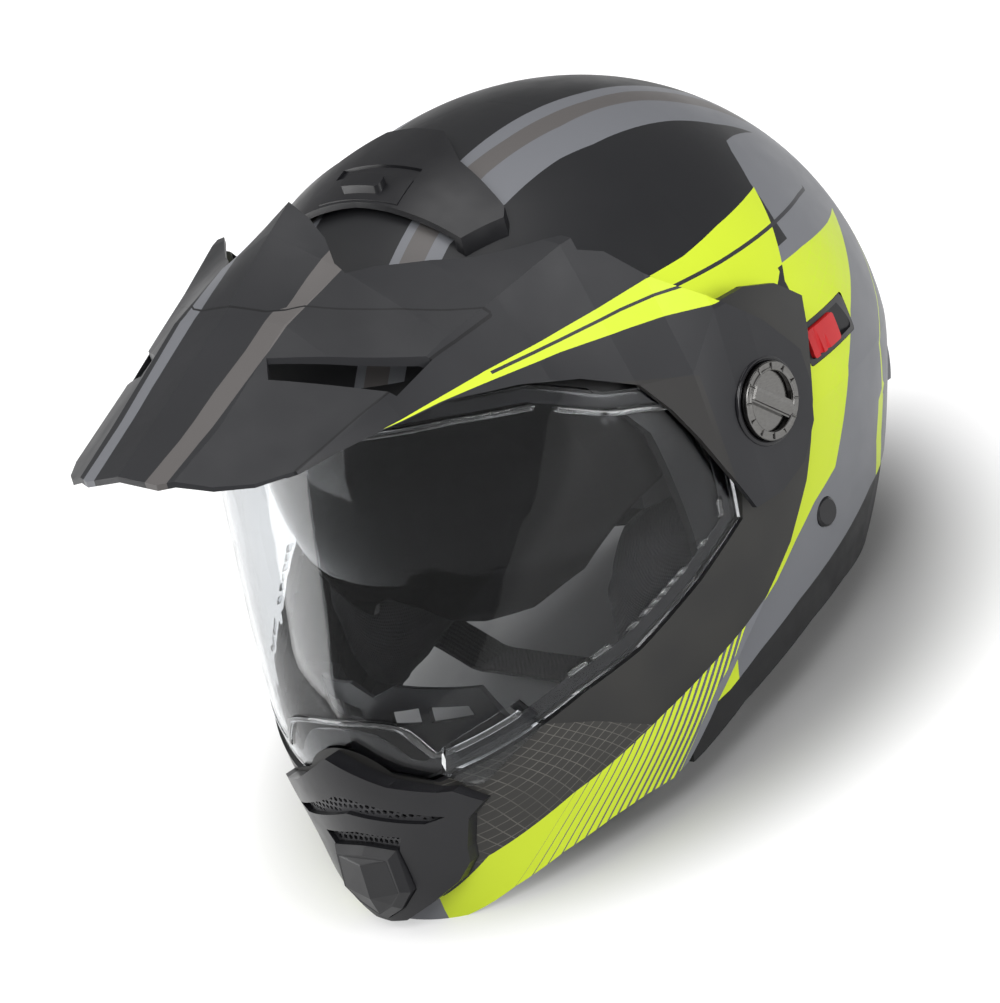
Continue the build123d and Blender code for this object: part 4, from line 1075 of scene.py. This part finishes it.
def background_share(tree, gloss):
    """1 for a camera ray or one through glass, gloss for a mirrored one, 0 after any diffuse bounce."""
    ray = tree.nodes.new("ShaderNodeLightPath").outputs
    seen = math_node(tree, "MAXIMUM", ray["Is Camera Ray"], ray["Is Transmission Ray"])
    seen = math_node(tree, "MAXIMUM", seen, math_node(tree, "MULTIPLY", ray["Is Glossy Ray"], gloss))
    return math_node(tree, "MULTIPLY", seen, math_node(tree, "LESS_THAN", ray["Diffuse Depth"], 0.5))


# Floor: it takes the object's shadow, and glows to white round the object and again far off; close to the
# object its glow fades out, which leaves painted shade on the floor under and round the object
floor_reach, floor_grey, white = 6.0, 0.45, (1, 1, 1, 1)
# Painted shade: no glow within the first radius, rising to the near glow at the second
painted_shade_radius, painted_shade_fade_end, near_glow = 0.11, 0.21, 0.76
distant_from, distant_to, distant_glow = 0.8, 2.4, 0.24
stage_mesh = bpy.data.meshes.new("floor")
corners = [(x * floor_reach, y * floor_reach, 0.0) for x, y in ((-1, -1), (1, -1), (1, 1), (-1, 1))]
stage_mesh.from_pydata(corners, [], [(0, 1, 2, 3)])
floor = joined(stage_mesh, "floor")

pale = bpy.data.materials.new("floor_pale")
pale.use_nodes = True
tree = pale.node_tree
tree.nodes.clear()
lit = tree.nodes.new("ShaderNodeBsdfDiffuse")
lit.inputs["Color"].default_value = (floor_grey, floor_grey, floor_grey, 1.0)
glow = tree.nodes.new("ShaderNodeEmission")
glow.inputs["Color"].default_value = white
far = tree.nodes.new("ShaderNodeVectorMath")
far.operation = "LENGTH"
tree.links.new(tree.nodes.new("ShaderNodeTexCoord").outputs["Object"], far.inputs[0])
# The near part fades out towards the object: painted shade round it
parts = [range_node(tree, far.outputs["Value"], start, end, 0.0, high, "SMOOTHSTEP")
         for start, end, high in ((painted_shade_radius, painted_shade_fade_end, near_glow), (distant_from, distant_to, distant_glow))]
total = math_node(tree, "ADD", *parts)
tree.links.new(math_node(tree, "MULTIPLY", background_share(tree, 1.0), total), glow.inputs["Strength"])
both = tree.nodes.new("ShaderNodeAddShader")
tree.links.new(lit.outputs[0], both.inputs[0])
tree.links.new(glow.outputs[0], both.inputs[1])
tree.links.new(both.outputs[0], tree.nodes.new("ShaderNodeOutputMaterial").inputs["Surface"])
stage_mesh.materials.append(pale)

# World: white behind the object, dim as a light
world_dim, world_white, world_gloss = 0.22, 1.0, 0.1
world = bpy.data.worlds.new("studio")
bpy.context.scene.world = world
world.use_nodes = True
tree = world.node_tree
tree.nodes.clear()
sky = tree.nodes.new("ShaderNodeBackground")
sky.inputs["Color"].default_value = white
level = range_node(tree, background_share(tree, world_gloss), 0.0, 1.0, world_dim, world_white)
tree.links.new(level, sky.inputs["Strength"])
tree.links.new(sky.outputs[0], tree.nodes.new("ShaderNodeOutputWorld").inputs["Surface"])


looked_at = Vector((0, 0, 0.13))


def lamp(name, at, size, power):
    """Soft rectangular lamp that looks at the middle of the object."""
    data = bpy.data.lights.new(name, "AREA")
    data.shape = "RECTANGLE"
    data.size, data.size_y = size
    data.energy = power
    ob = joined(data, name)
    ob.location = at
    ob.rotation_euler = (looked_at - Vector(at)).to_track_quat("-Z", "Y").to_euler()
    return ob


glint = lamp("glint", (-0.92, -0.80, 0.34), (0.52, 0.64), 6.5)
glint.visible_camera = False
lamp("key", (1.0, -1.2, 1.9), (1.1, 1.1), 25)
lamp("side", (2.0, -0.2, 0.62), (0.8, 1.2), 27)
lamp("top", (0.0, 0.3, 2.1), (1.5, 1.2), 16)
lamp("fill", (-1.6, -0.4, 1.5), (0.8, 1.3), 9)

bpy.context.scene.view_settings.view_transform = "Standard"
